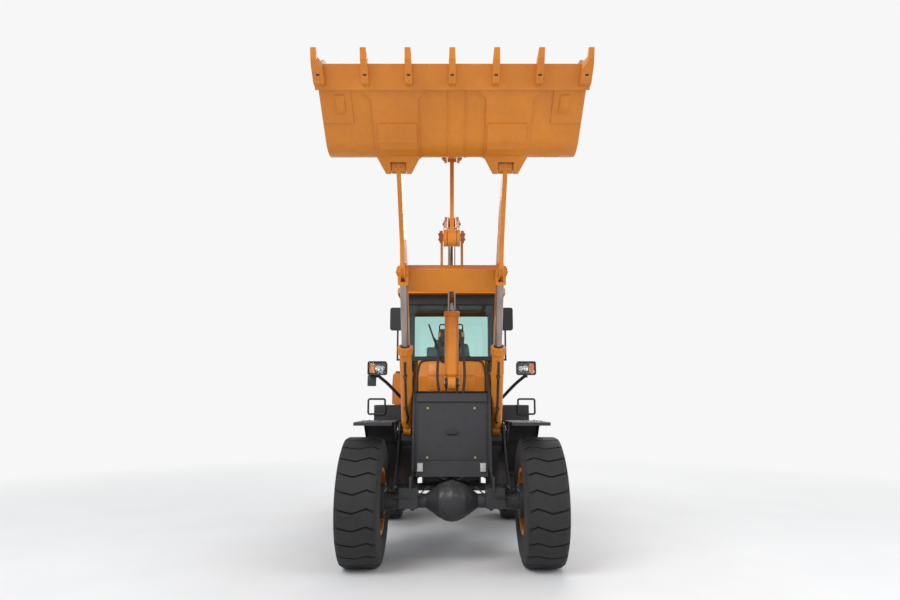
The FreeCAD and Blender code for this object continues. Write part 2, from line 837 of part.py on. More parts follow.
def rear_frame():
    """The rear frame: two rails, forks and pins of the hinge, and the plates across."""
    piece = Piece("rear_frame")
    inside = S.rear_rail_half - S.frame_plate
    rail = [
        (STEER_Y + 330, S.hinge_lower_z - 50, 30),
        (REAR_AXLE_Y - 300, S.hinge_lower_z - 50, 60),
        (REAR_AXLE_Y - 180, 800, 60),
        (REAR_AXLE_Y + 180, 800, 60),
        (REAR_AXLE_Y + 300, 780, 60),
        (S.rear_frame_end, 780),
        (S.rear_frame_end, 1150),
        (STEER_Y + 420, 1260, 60),
        (STEER_Y + 250, 1260, 30),
        (STEER_Y + 250, 1110, 30),
    ]
    left = piece.pad("side", [rail], inside, S.rear_rail_half)
    piece.mirror([left])
    reach = S.hinge_lug_thick / 2 + 8
    for height in (S.hinge_upper_z, S.hinge_lower_z):
        for low, high in ((height + reach, height + reach + 30), (height - reach - 30, height - reach)):
            plate = [
                (-inside, STEER_Y + 330),
                (inside, STEER_Y + 330),
                (inside, STEER_Y + 430),
                (-inside, STEER_Y + 430),
            ]
            tongue = [
                (-S.hinge_lug_r, STEER_Y),
                (S.hinge_lug_r, STEER_Y),
                (S.hinge_lug_r + 90, STEER_Y + 340),
                (-S.hinge_lug_r - 90, STEER_Y + 340),
            ]
            piece.pad("top", [plate], low, high)
            piece.pad("top", [tongue], low, high)
            piece.pad("top", [circle(0, STEER_Y, S.hinge_lug_r)], low, high)
        piece.pad("top", [circle(0, STEER_Y, S.hinge_pin_r)], height - reach - 45, height + reach + 45)
    # Plates across
    piece.pad("front", [oblong(-inside, inside, 1090, 1220)], STEER_Y + 400, STEER_Y + 425)
    piece.pad("front", [oblong(-inside, inside, S.hinge_lower_z - 50, 745)], STEER_Y + 400, STEER_Y + 425)
    piece.pad("front", [oblong(-inside, inside, 800, 1150)], S.rear_frame_end - 25, S.rear_frame_end)
    # The axle's cradle, which the pads bear on
    cradle = piece.pad("side", [oblong(REAR_AXLE_Y - 150, REAR_AXLE_Y + 150, S.axle_pad_z, S.axle_pad_z + 40)],
                       inside - 10, 555)
    # Brackets of the steering cylinders' bases
    for height in (S.steer_z - 62, S.steer_z + 40):
        lug = piece.pad(
            "top",
            [oblong(S.steer_base_x - 50, inside, STEER_Y + S.steer_base_back - 50,
                    STEER_Y + S.steer_base_back + 50, 20)],
            height,
            height + 22,
        )
        piece.mirror([lug])
    pin = piece.pad(
        "top",
        [circle(S.steer_base_x, STEER_Y + S.steer_base_back, S.steer_pin_r)],
        S.steer_z - 62,
        S.steer_z + 62,
    )
    # Brackets that carry the hood's sills
    for place in (1600, 2560):
        bracket = piece.pad("front", [oblong(S.rear_rail_half - 5, S.hood_half, 1140, S.hood_bottom - 0.3)], place,
                            place + 80)
        piece.mirror([bracket])
    # Outriggers that carry the platforms
    outrigger = piece.pad("front", [oblong(inside + 5, 700, 1150, 1230)], 330, 410)
    outrigger_back = piece.pad("front", [oblong(inside + 5, 700, 1150, 1215)], 1000, 1080)
    piece.mirror([cradle, pin, outrigger, outrigger_back])
    # Cab posts
    for place in (340, 1030):
        post = piece.pad("top", [oblong(S.rear_rail_half - 45, S.rear_rail_half + 45, place, place + 90)],
                         1150, S.cab_floor_z - 0.3)
        piece.mirror([post])


def driveshaft():
    """The two halves of the drive line, which meet at a joint on the steering axis."""
    ball = 32
    tube = S.shaft_r
    drop = S.shaft_z - S.tyre_radius
    for name, axle_y, way in (("front", S.front_axle_y, 1), ("rear", REAR_AXLE_Y, -1)):
        end = axle_y + way * (S.diff_r + 150.5 + ball)
        run = way * (STEER_Y - end)
        slope = Size(
            math.degrees(math.atan2(way * drop.value, run.value)),
            "atan2(" + (way * drop).text + "; " + run.text + ")",
        )
        piece = Piece("driveshaft_" + name, (0, end, S.tyre_radius), slope)
        far = length_of(run, drop)
        stop = far - 42 if way > 0 else far + 28
        outline = [
            (-way * ball, 0),
            (-way * ball, ball, 30),
            (way * 60, ball),
            (way * 95, tube),
            (way * (far - 120), tube),
            (way * (far - 90), 28),
            (way * stop, 28, 26),
            (way * stop, 0),
        ]
        piece.spin("side", [outline], "Y")


# Boom and linkage


def boom():
    """The boom: two curved arms, the box beam between them, and the ears of the bellcrank's pin."""
    piece = Piece(
        "boom",
        (0, BOOM_PIVOT.y, BOOM_PIVOT.z),
        turn_front(BUCKET_PIN.y - BOOM_PIVOT.y, BUCKET_PIN.z - BOOM_PIVOT.z),
    )
    inner = S.arm_x - S.arm_thick / 2
    outer = S.arm_x + S.arm_thick / 2
    # Seen from the side, with the pivot at the origin and the bucket's pins on -Y
    arm = [
        (S.hub_r - 10, 60, 70),
        (S.hub_r - 10, -S.hub_r, 110),
        (-260, -S.hub_r + 15, 300),
        (-760, 10, 300),
        (-S.lift_pin_along + 330, 12, 200),
        (-S.lift_pin_along + 70, 12, 8),
        (-S.lift_pin_along + 70, S.lift_pin_above - 72, 66),
        (-S.lift_pin_along - 75, S.lift_pin_above - 72, 66),
        (-S.lift_pin_along - 330, -50, 200),
        (-BOOM_LONG + 60, -S.bucket_hub_r + 3, 90),
        (-BOOM_LONG - S.bucket_hub_r + 3, -S.bucket_hub_r + 3, 60),
        (-BOOM_LONG - S.bucket_hub_r + 3, S.bucket_hub_r - 3, 60),
        (-BOOM_LONG + 140, S.bucket_hub_r + 5, 200),
        (-2150, 215, 400),
        (-1350, 330, 500),
        (-560, 285, 400),
    ]
    plate = piece.pad("side", [arm], inner, outer)
    hub = piece.pad("side", [circle(0, 0, S.hub_r)], S.frame_half + 10 + S.side_gap, outer + 10)
    tip = piece.pad(
        "side",
        [circle(-BOOM_LONG, 0, S.bucket_hub_r)],
        S.arm_x - S.bucket_hub_wide / 2,
        S.arm_x + S.bucket_hub_wide / 2,
    )
    piece.mirror([plate, hub, tip])
    pivot_hole = piece.cut("side", [circle(0, 0, S.pivot_pin_r + S.running_gap)], 300, 700)
    tip_hole = piece.cut("side", [circle(-BOOM_LONG, 0, S.bucket_pin_r + S.running_gap)], 300, 700)
    piece.mirror([pivot_hole, tip_hole])
    # The box beam between the arms
    piece.pad("side", [oblong(-S.beam_end, -S.beam_start, S.beam_low, S.beam_deep, 12)], -inner - 2, inner + 2)
    # Ears that carry the bellcrank's pin
    low = S.bell_ear_gap / 2
    pin = (-S.bell_pin_along, S.bell_pin_above)
    ear = piece.pad(
        "side",
        [[
            (-S.beam_end - 20, S.beam_deep - 30),
            (-S.beam_start + 30, S.beam_deep - 30),
            (-S.beam_start + 10, S.beam_deep + 10, 20),
            (pin[0] + 62, pin[1] + 58, 60),
            (pin[0] - 62, pin[1] + 58, 56),
            (pin[0] - 62, pin[1] - 58, 56),
            (-S.beam_end - 30, S.beam_deep + 10, 20),
        ]],
        low,
        low + S.bell_ear_thick,
    )
    boss = piece.pad("side", [circle(pin[0], pin[1], 72)], low, low + S.bell_ear_thick + 12)
    piece.mirror([ear, boss])
    piece.cut("side", [circle(pin[0], pin[1], S.bell_pin_r + S.running_gap)], -300, 300)


def bell_pin():
    half = S.bell_ear_gap / 2 + S.bell_ear_thick + 18
    piece = Piece("bellcrank_pin", (0, BELL_PIN.y, BELL_PIN.z))
    piece.pad("side", [circle(0, 0, S.bell_pin_r)], -half, half)


def bellcrank():
    """The bellcrank: two plates joined at their hub, with the link's pin at one end."""
    piece = Piece("bellcrank", (0, BELL_PIN.y, BELL_PIN.z))
    inner = S.bell_gap / 2
    outer = inner + S.bell_plate_thick
    up = (TILT_EYE.y - BELL_PIN.y, TILT_EYE.z - BELL_PIN.z)
    down = (LINK_PIN.y - BELL_PIN.y, LINK_PIN.z - BELL_PIN.z)
    middle = (0.0, 0.0)
    features = [
        piece.pad("side", [bar(middle, up, 105, 66)], inner, outer),
        piece.pad("side", [bar(middle, down, 105, 70)], inner, outer),
        piece.pad("side", [circle(up[0], up[1], S.bell_boss_r - 8)], inner, outer),
        piece.pad("side", [circle(down[0], down[1], S.link_boss_r)], inner, outer),
    ]
    piece.mirror(features)
    piece.pad("side", [circle(0, 0, S.bell_boss_r + 12)], -outer - 8, outer + 8)
    piece.cut("side", [circle(0, 0, S.bell_pin_r + S.running_gap)], -300, 300)
    piece.cut("side", [circle(down[0], down[1], S.link_pin_r + S.running_gap)], -300, 300)
    cap = piece.pad("side", [circle(up[0], up[1], S.tilt_pin_r + 8)], outer - 1, outer + 14)
    piece.mirror([cap])


def link_pin():
    half = S.bell_gap / 2 + S.bell_plate_thick + 10
    piece = Piece("link_pin", (0, LINK_PIN.y, LINK_PIN.z))
    piece.pad("side", [circle(0, 0, S.link_pin_r)], -half, half)


def link():
    """The link from the bellcrank to the bucket."""
    piece = Piece("link", (0, LINK_PIN.y, LINK_PIN.z), turn_up(LINK_EYE.y - LINK_PIN.y, LINK_EYE.z - LINK_PIN.z))
    long = length_of(LINK_EYE.y - LINK_PIN.y, LINK_EYE.z - LINK_PIN.z)
    half = S.link_thick / 2
    boss = S.link_boss_wide / 2
    piece.pad("side", [bar((0.0, 0.0), (0.0, long), 62, 48)], -half, half)
    piece.pad("side", [circle(0, 0, S.link_boss_r)], -boss, boss)
    piece.pad("side", [circle(0, long, S.link_boss_r - 24)], -boss, boss)
    piece.cut("side", [circle(0, 0, S.link_pin_r + S.running_gap)], -300, 300)


def tilt_cylinder():
    turn = turn_up(TILT_EYE.y - TILT_BASE.y, TILT_EYE.z - TILT_BASE.z)
    long = length_of(TILT_EYE.y - TILT_BASE.y, TILT_EYE.z - TILT_BASE.z)
    half = S.tilt_eye_wide / 2
    pin = Piece("tilt_base_pin", (0, TILT_BASE.y, TILT_BASE.z))
    reach = half + S.side_gap + 40
    pin.pad("side", [circle(0, 0, S.tilt_pin_r)], -reach, reach)
    barrel = Piece("tilt_barrel", (0, TILT_BASE.y, TILT_BASE.z), turn)
    top = S.tilt_barrel_long
    gap = S.tilt_rod_r + S.running_gap
    barrel.pad("side", [circle(0, 0, S.tilt_eye_r)], -half, half)
    tube = [
        (gap, 130),
        (gap, top + S.tilt_gland_long),
        (S.tilt_gland_r, top + S.tilt_gland_long, 8),
        (S.tilt_gland_r, top + 4, 8),
        (S.tilt_barrel_r, top),
        (S.tilt_barrel_r, 96, 20),
        (40, 50),
        (0, 50),
        (0, 130),
    ]
    barrel.spin("front", [tube], "Z")
    barrel.cut("side", [circle(0, 0, S.tilt_pin_r + S.running_gap)], -200, 200)
    rod = Piece("tilt_rod", (0, TILT_BASE.y, TILT_BASE.z), turn)
    rod.pad("top", [circle(0, 0, S.tilt_rod_r)], 560, long - 40)
    rod.pad("side", [circle(0, long, S.tilt_eye_r)], -half, half)


def lift_cylinders():
    turn = turn_up(LIFT_PIN.y - LIFT_BASE.y, LIFT_PIN.z - LIFT_BASE.z)
    long = length_of(LIFT_PIN.y - LIFT_BASE.y, LIFT_PIN.z - LIFT_BASE.z)
    top = S.lift_barrel_long
    gap = S.lift_rod_r + S.running_gap
    barrels = Piece("lift_barrels", (0, LIFT_BASE.y, LIFT_BASE.z), turn)
    eye = barrels.pad("side", [circle(0, 0, S.lift_eye_r)], S.arm_x - 45, S.arm_x + 45)
    tube = barrels.pad("top", [circle(S.arm_x, 0, S.lift_barrel_r)], 55, top)
    gland = barrels.pad("top", [circle(S.arm_x, 0, S.lift_gland_r)], top, top + S.lift_gland_long)
    bore = barrels.cut("top", [circle(S.arm_x, 0, gap)], 150, top + S.lift_gland_long)
    hole = barrels.cut("side", [circle(0, 0, S.lift_pin_r + S.running_gap)], S.arm_x - 60, S.arm_x + 60)
    barrels.mirror([eye, tube, gland, bore, hole])
    rods = Piece("lift_rods", (0, LIFT_BASE.y, LIFT_BASE.z), turn)
    inner = S.arm_x - S.arm_thick / 2 - S.side_gap
    outer = S.arm_x + S.arm_thick / 2 + S.side_gap
    yoke = long - 140
    rod = rods.pad("top", [circle(S.arm_x, 0, S.lift_rod_r)], 895, yoke + 10)
    bridge = rods.pad(
        "top",
        [oblong(inner - S.lift_fork_thick, outer + S.lift_fork_thick, -56, 56, 16)],
        yoke,
        yoke + 34,
    )
    prongs = []
    for low in (inner - S.lift_fork_thick, outer):
        prongs.append(rods.pad("side", [oblong(-52, 52, yoke + 10, long)], low, low + S.lift_fork_thick))
        prongs.append(rods.pad("side", [circle(0, long, S.lift_eye_r - 14)], low, low + S.lift_fork_thick))
    cap = rods.pad("side", [circle(0, long, S.lift_pin_r + 10)], outer + S.lift_fork_thick - 1,
                   outer + S.lift_fork_thick + 12)
    rods.mirror([rod, bridge, cap] + prongs)


# Bucket


def bucket_frame(name):
    """A piece drawn with the bucket flat on the ground, and its hinge pins at the origin."""
    angle = Size(-S.bucket_roll.value, "-(" + S.bucket_roll.text + ")")
    piece = Piece(name, (0, BUCKET_PIN.y, BUCKET_PIN.z))
    piece.body.Placement.Rotation = FreeCAD.Rotation(FreeCAD.Vector(1, 0, 0), angle.value)
    piece.body.setExpression("Placement.Rotation.Angle", angle.text)
    return piece


def bucket():
    """The bucket: a bent shell between two cheeks, with hinge ears on its back."""
    piece = bucket_frame("bucket")
    half = S.bucket_wide / 2
    floor = S.bucket_floor
    lip = -S.bucket_reach + 60
    back = lip + S.bucket_floor_long + S.bucket_heel_r
    top = S.bucket_top
    t = S.bucket_plate
    outline = [
        (lip, floor),
        (back, floor, S.bucket_heel_r),
        (back, 330, 300),
        (back - 185, top),
        (back - 185 - t, top - 5),
        (back - t, 330, 286),
        (back - t, floor + t, S.bucket_heel_r - t),
        (lip, floor + t),
    ]
    piece.pad("side", [outline], -half + 1, half - 1)
    cheek_outline = [
        (lip, floor + 2),
        (back, floor, S.bucket_heel_r),
        (back, 330, 300),
        (back - 185, top),
        (back - 300, top - 20, 40),
        (lip + 25, floor + 330, 120),
        (lip, floor + 170),
    ]
    cheek = piece.pad("side", [cheek_outline], half - S.bucket_cheek, half)
    piece.mirror([cheek])
    # A stiff box along the top edge
    piece.pad("side", [oblong(back - 205, back - 150, top - 70, top, 6)], -half + 2, half - 2)
    # Stiffening plates below, flared at the edge, with a wear pad on the heel
    under = floor - S.rib_thick
    low_x = S.rib_low
    high_x = S.rib_high
    start = -S.bucket_reach + S.edge_long + 2
    rib = [
        (start, under),
        (back + S.rib_thick, under, S.bucket_heel_r + S.rib_thick),
        (back + S.rib_thick, 170),
        (back - 4, 170),
        (back - 4, floor + 4, S.bucket_heel_r - 4),
        (start, floor + 4),
    ]
    flare = [
        (low_x, start + 92),
        (low_x - 90, start + 2),
        (low_x - 90, start),
        (high_x + 90, start),
        (high_x + 90, start + 2),
        (high_x, start + 92),
    ]
    heel_y = back - S.bucket_heel_r
    wear_pad = [
        (heel_y - 180, under - 12),
        (heel_y, under - 12),
        (heel_y + 81, under - 1),
        (heel_y + 157, under + 30),
        (heel_y + 150, under + 56),
        (heel_y, floor),
        (heel_y - 180, floor),
    ]
    corner_plate = [
        (905, start),
        (S.bucket_wide / 2 - 2, start),
        (S.bucket_wide / 2 - 2, start + 322),
        (905, start + 322),
    ]
    # The plate below the hinge ears narrows towards the pins and leaves room for the arm
    arm_gap = S.bucket_hub_wide / 2 + S.side_gap
    hinge_plate = [
        (low_x, -190),
        (high_x, -190),
        (high_x, -140),
        (650, 40),
        (S.arm_x + arm_gap, 40),
        (S.arm_x + arm_gap, -90),
        (S.arm_x - arm_gap, -90),
        (S.arm_x - arm_gap, 40),
        (400, 40),
        (low_x, -140),
    ]
    plates = [
        piece.pad("side", [rib], low_x, high_x),
        piece.pad("top", [flare], under, floor + 2),
        piece.pad("side", [wear_pad], low_x + 19, high_x - 37),
        piece.pad("top", [corner_plate], floor - 8, floor + 2),
        piece.pad("top", [hinge_plate], -92, -77),
    ]
    # A scoop that leaves room for the arm's hub
    scoop = piece.cut("side", [circle(0, 0, S.bucket_hub_r + 5.5)], S.arm_x - arm_gap, S.arm_x + arm_gap)
    piece.mirror(plates + [scoop])
    # Hinge ears, two at each arm
    gap = S.bucket_hub_wide / 2 + S.side_gap
    ear = [
        (back - 25, 250),
        (back - 40, floor + 60),
        (-60, floor + 62),
        (70, -76, 60),
        (76, 60, 60),
        (-20, 140, 60),
        (back + 12, 330),
    ]
    ears = []
    for low in (S.arm_x - gap - 28, S.arm_x + gap):
        ears.append(piece.pad("side", [ear], low, low + 28))
    piece.mirror(ears)
    # Ears of the link, in the middle
    eye_y = LINK_EYE.y - BUCKET_PIN.y
    eye_z = LINK_EYE.z - BUCKET_PIN.z
    cosine = math.cos(math.radians(S.bucket_roll.value))
    sine = math.sin(math.radians(S.bucket_roll.value))
    cos_text = Size(cosine, "cos(Sizes.bucket_roll * 1 deg)")
    sin_text = Size(sine, "sin(Sizes.bucket_roll * 1 deg)")
    flat_y = eye_y * cos_text - eye_z * sin_text
    flat_z = eye_y * sin_text + eye_z * cos_text
    link_ear = [
        (back - 30, flat_z - 150),
        (flat_y + 20, flat_z - 95, 60),
        (flat_y + 72, flat_z - 30, 60),
        (flat_y + 62, flat_z + 66, 60),
        (flat_y - 60, flat_z + 66, 60),
        (back - 70, flat_z + 120),
    ]
    link_gap = S.link_boss_wide / 2 + S.side_gap
    side = piece.pad("side", [link_ear], link_gap, link_gap + 28)
    cap = piece.pad("side", [circle(flat_y, flat_z, 50)], link_gap + 20, link_gap + 44)
    piece.mirror([side, cap])
    hole = piece.cut("side", [circle(0, 0, S.bucket_pin_r + S.running_gap)], 300, 800)
    piece.mirror([hole])


def bucket_edge():
    """The cutting edge with its teeth."""
    piece = bucket_frame("bucket_edge")
    lip = -S.bucket_reach
    floor = S.bucket_floor
    half = S.edge_wide / 2
    edge = [
        (lip, floor - 10),
        (lip + S.edge_long, floor - S.edge_thick),
        (lip + S.edge_long, floor - 0.3),
        (lip + 50, floor - 0.3),
        (lip, floor - 6),
    ]
    piece.pad("side", [edge], -half, half)
    tooth = [
        (lip - S.tooth_long, floor - 26),
        (lip - 60, floor - 52, 12),
        (lip + 150, floor - 62, 12),
        (lip + 190, floor - S.edge_thick + 2),
        (lip + 30, floor - 12),
        (lip + 8, floor - 0.3),
        (lip + 56, floor - 0.3),
        (lip + 56, floor + 22),
        (lip - 20, floor + 34, 12),
        (lip - 70, floor + 14, 12),
        (lip - S.tooth_long, floor - 16),
    ]
    first = -S.tooth_pitch * (S.tooth_count - 1) / 2
    wide = S.tooth_wide / 2
    tip = lip - S.tooth_long
    features = [piece.pad("side", [tooth], first - wide, first + wide)]
    for way in (-1, 1):
        taper = [
            (first + wide * way, lip),
            (first + (wide - 6) * way, tip - 1),
            (first + (wide + 4) * way, tip - 1),
            (first + (wide + 4) * way, lip),
        ]
        features.append(piece.cut("top", [taper], floor - 80, floor + 60))
    piece.row(features, "X", S.tooth_pitch * (S.tooth_count - 1), S.tooth_count)
    # The teeth at the corners are flared on the inside
    inner = half - S.corner_tooth_wide
    corner = piece.pad("side", [tooth], inner, half)
    flare = [
        (inner - 1, lip + 31),
        (inner + 45, lip - 44),
        (inner + 38, tip - 1),
        (inner - 1, tip - 1),
    ]
    narrow = piece.cut("top", [flare], floor - 80, floor + 60)
    outside = [
        (half, lip),
        (half - 11, tip - 1),
        (half + 1, tip - 1),
        (half + 1, lip),
    ]
    outer = piece.cut("top", [outside], floor - 80, floor + 60)
    piece.mirror([corner, narrow, outer])


def bucket_pins():
    piece = Piece("bucket_pins", (0, BUCKET_PIN.y, BUCKET_PIN.z))
    reach = S.bucket_hub_wide / 2 + S.side_gap + 28 + 14
    pin = piece.pad("side", [circle(0, 0, S.bucket_pin_r)], S.arm_x - reach, S.arm_x + reach)
    piece.mirror([pin])


# Steering cylinders


def steering_cylinder(name, side):
    """One steering cylinder, drawn along Y from its base pin on the rear frame."""
    dx = (S.steer_eye_x - S.steer_base_x) * side
    dy = -S.steer_eye_front - S.steer_base_back
    long = length_of(dx, dy)
    angle = math.degrees(math.atan2(dx.value, -dy.value))
    swing = Size(angle, "atan2(" + dx.text + "; -(" + dy.text + "))")
    base = (S.steer_base_x * side, STEER_Y + S.steer_base_back, S.steer_z)
    pieces = []
    for part in ("barrel", "rod"):
        piece = Piece("steer_" + part + "_" + name, base)
        piece.body.Placement.Rotation = FreeCAD.Rotation(FreeCAD.Vector(0, 0, 1), swing.value)
        piece.body.setExpression("Placement.Rotation.Angle", swing.text)
        pieces.append(piece)
    barrel, rod = pieces
    top = S.steer_barrel_long
    gap = S.steer_rod_r + S.running_gap
    barrel.pad("top", [circle(0, 0, S.steer_eye_r)], -34, 34)
    barrel.pad("front", [circle(0, 0, 30)], -70, -30)
    barrel.pad("front", [circle(0, 0, S.steer_barrel_r)], -top, -58)
    barrel.pad("front", [circle(0, 0, S.steer_barrel_r + 7)], -top - 35, -top)
    barrel.cut("top", [circle(0, 0, S.steer_pin_r + S.running_gap)], -60, 60)
    barrel.cut("front", [circle(0, 0, gap)], -top - 35, -62)
    rod.pad("front", [circle(0, 0, S.steer_rod_r)], -long + 10, -228)
    rod.pad("top", [circle(0, -long, S.steer_eye_r - 4)], -30, 30)


# Cab


def cab_base():
    """The cab's floor pan with its low walls and the faceted cowl below the windscreen."""
    piece = Piece("cab_base")
    front = S.cab_front
    back = S.cab_back
    half = S.cab_half
    wall = S.cab_wall
    piece.pad("top", [oblong(-half, half, front, back, 30)], S.cab_floor_z, S.cab_floor_z + 60)
    piece.pad("top", [
        oblong(-half, half, front, back, 30),
        oblong(-half + wall, half - wall, front + wall, back - wall, 20),
    ], S.cab_floor_z + 60, S.cab_floor_z + 160)
    # Rear wall up to the rear window
    between = half - S.pillar - 0.3
    piece.pad("top", [oblong(-between, between, back - wall, back - 1)], S.cab_floor_z + 100, S.cab_belt_z + 90)
    # Right-hand wall below the window
    post = S.door_back + 10
    lows = (front + S.pillar + 20.3, post + S.pillar + 0.3)
    highs = (post - 0.3, back - S.pillar - 0.3)
    for low, high in zip(lows, highs):
        piece.pad("side", [oblong(low, high, S.cab_floor_z + 100, S.cab_belt_z - 120)], -half + 1, -half + wall)
    # Left-hand wall behind the door
    piece.pad("side", [oblong(lows[1], highs[1], S.cab_floor_z + 100, S.cab_belt_z - 120)], half - wall, half - 1)
    # The cowl: its face is folded, its top slopes to the windscreen
    cowl = [
        (front - 42, S.cab_floor_z + 100),
        (front - 42, 1840),
        (front - 62, 2030),
        (front - 12, S.cab_belt_z - 6, 12),
        (front + 70, S.cab_belt_z - 4),
        (front + 70, S.cab_belt_z - 20),
        (front + 16, S.cab_belt_z - 24),
        (front - 36, 2030),
        (front - 16, 1840),
        (front - 16, S.cab_floor_z + 100),
    ]
    piece.pad("side", [cowl], -S.cowl_half, S.cowl_half)
    # Trays that close the cowl to the floor
    piece.pad("side", [oblong(front - 42, front + 20, S.cab_floor_z + 60, S.cab_floor_z + 130)], -S.cowl_half,
              S.cowl_half)


def cab_frame():
    """The cab's pillars and headers, with the windows between them."""
    piece = Piece("cab_frame")
    front = S.cab_front
    back = S.cab_back
    half = S.cab_half
    low = S.cab_floor_z + 160
    high = S.cab_roof_z
    p = S.pillar
    # Front pillars stand beside the cowl
    posts = [
        piece.pad("top", [oblong(half - p, half, front, front + p + 20, 16)], low, high),
        piece.pad("top", [oblong(half - p, half, S.door_back + 10, S.door_back + 10 + p, 16)], low, high),
        piece.pad("top", [oblong(half - p, half, back - p, back, 16)], low, high),
        piece.pad("side", [oblong(front + 10, back - 10, high - 85, high)], half - p + 10, half - 4),
    ]
    piece.mirror(posts)
    for z in (S.deck_z + 240, S.cab_roof_z - 420):
        for bottom in (z - 40.3, z + 60.3):
            piece.pad("top", [circle(half + 14, S.door_back + 7, 11)], bottom, bottom + 40)
            piece.pad("top", [oblong(half - 6, half + 14, S.door_back + 12, S.door_back + 18)], bottom, bottom + 40)
            piece.pad("top", [oblong(half + 8, half + 20, S.door_back + 7, S.door_back + 18)], bottom, bottom + 40)
    piece.pad("front", [oblong(-half + 10, half - 10, high - 130, high)], front, front + 60)
    piece.pad("front", [oblong(-half + 10, half - 10, high - 110, high)], back - 60, back)
    piece.pad("front", [oblong(-half + 10, half - 10, S.cab_belt_z - 2, S.cab_belt_z + 40)], front + 10, front + 60)


def cab_roof():
    """The roof cap, thicker at its middle, with rounded corners."""
    piece = Piece("cab_roof")
    front = S.cab_front - 130
    back = S.cab_back + 60
    half = S.roof_half
    piece.pad("top", [oblong(-half, half, front, back, 90)], S.cab_roof_z + 0.3, S.cab_roof_z + S.roof_thick - 25)
    piece.pad("top", [oblong(-half + 35, half - 35, front + 40, back - 40, 80)], S.cab_roof_z + S.roof_thick - 25,
              S.cab_roof_z + S.roof_thick)


def cab_glass():
    """Windscreen, lower front panes, side panes and rear window."""
    piece = Piece("cab_glass")
    front = S.cab_front
    back = S.cab_back
    half = S.cab_half
    t = S.glass_thick
    p = S.pillar
    high = S.cab_roof_z
    belt = S.cab_belt_z
    piece.pad("front", [oblong(-half + p + 0.3, half - p - 0.3, belt + 40.3, high - 130.3)], front + 20,
              front + 20 + t)
    low = piece.pad("front", [oblong(S.cowl_half + 1, half - p - 0.3, S.cab_floor_z + 160.3, belt - 2.3)],
                    front + 20, front + 20 + t)
    piece.mirror([low])
    piece.pad("front", [oblong(-half + p + 0.3, half - p - 0.3, belt + 90.3, high - 110.3)], back - 30,
              back - 30 + t)
    rear_quarter = piece.pad(
        "side",
        [oblong(S.door_back + 10 + p + 0.3, back - p - 0.3, belt - 119.7, high - 85.3)],
        half - 30,
        half - 30 + t,
    )
    piece.mirror([rear_quarter])
    piece.pad("side", [oblong(front + p + 20.3, S.door_back + 9.7, belt - 119.7, high - 85.3)], -half + 30 - t,
              -half + 30)


def cab_door():
    """The door on the left, hinged at its rear edge, with its window cut."""
    piece = Piece("cab_door")
    half = S.cab_half
    front = S.cab_front + S.pillar + 20 + S.door_gap
    back = S.door_back + 10 - S.door_gap
    low = S.cab_floor_z + 168
    high = S.cab_roof_z - 91
    piece.pad("side", [
        oblong(front, back, low, high, 30),
        oblong(front + 70, back - 70, low + 480, high - 60, 40),
        oblong(front + 70, back - 70, low + 90, low + 400, 40),
    ], half - 38, half - 4)
    piece.pad("side", [oblong(front + 20, front + 48, low + 420, low + 560, 8)], half - 5, half + 38)
    for z in (S.deck_z + 240, S.cab_roof_z - 420):
        piece.pad("top", [circle(half + 14, S.door_back + 7, 11)], z, z + 60)
        piece.pad("top", [oblong(half - 6, half + 14, S.door_back - 4, S.door_back + 2)], z, z + 60)
        piece.pad("top", [oblong(half + 8, half + 20, S.door_back - 4, S.door_back + 7)], z, z + 60)
    glass = Piece("door_glass")
    glass.pad("side", [oblong(front + 70.3, back - 70.3, low + 480.3, high - 60.3, 40)], half - 24,
              half - 24 + S.glass_thick)
    glass.pad("side", [oblong(front + 70.3, back - 70.3, low + 90.3, low + 399.7, 40)], half - 24,
              half - 24 + S.glass_thick)


def seat():
    """The driver's seat: base, cushion, back and headrest."""
    piece = Piece("seat")
    middle = 860
    floor = S.cab_floor_z + 60
    piece.pad("top", [oblong(-190, 190, middle - 200, middle + 200, 30)], floor, floor + 330)
    piece.pad("side", [[
        (middle - 270, floor + 330, 30),
        (middle + 250, floor + 330, 30),
        (middle + 250, floor + 430),
        (middle + 350, floor + 1010, 40),
        (middle + 230, floor + 1010, 40),
        (middle + 130, floor + 470, 60),
        (middle - 270, floor + 470, 50),
    ]], -245, 245)
    piece.pad("side", [[
        (middle + 235, floor + 990),
        (middle + 335, floor + 990),
        (middle + 370, floor + 1230, 35),
        (middle + 275, floor + 1230, 35),
    ]], -150, 150)


def steering_console():
    """The steering column with its wheel and the switch box."""
    piece = Piece("steering_console")
    floor = S.cab_floor_z + 60
    front = S.cab_front
    piece.pad("side", [[
        (front + 90, floor),
        (front + 270, floor),
        (front + 330, floor + 620, 30),
        (front + 210, floor + 660, 30),
    ]], -110, 110)
    piece.pad("side", [bar((front + 290, floor + 600), (front + 354.9, floor + 744.7), 26, 20)], -24, 24)
    wheel = Piece("steering_wheel", (0, front + 355, floor + 745))
    wheel.body.Placement.Rotation = FreeCAD.Rotation(FreeCAD.Vector(1, 0, 0), -24)
    wheel.spin("front", [[(0, 0), (36, 0), (36, 28), (0, 28)]], "Z")
    wheel.spin("front", [[(182, 34), (189, 25), (201, 25), (208, 34), (208, 46), (201, 55), (189, 55),
                          (182, 46)]], "Z")
    spoke = wheel.pad("front", [[(0, 8), (30, 4), (188, 34), (188, 46), (30, 24), (0, 24)]], -14, 14)
    wheel.ring([spoke], "Z", 3)


# Hood, counterweight and the rear


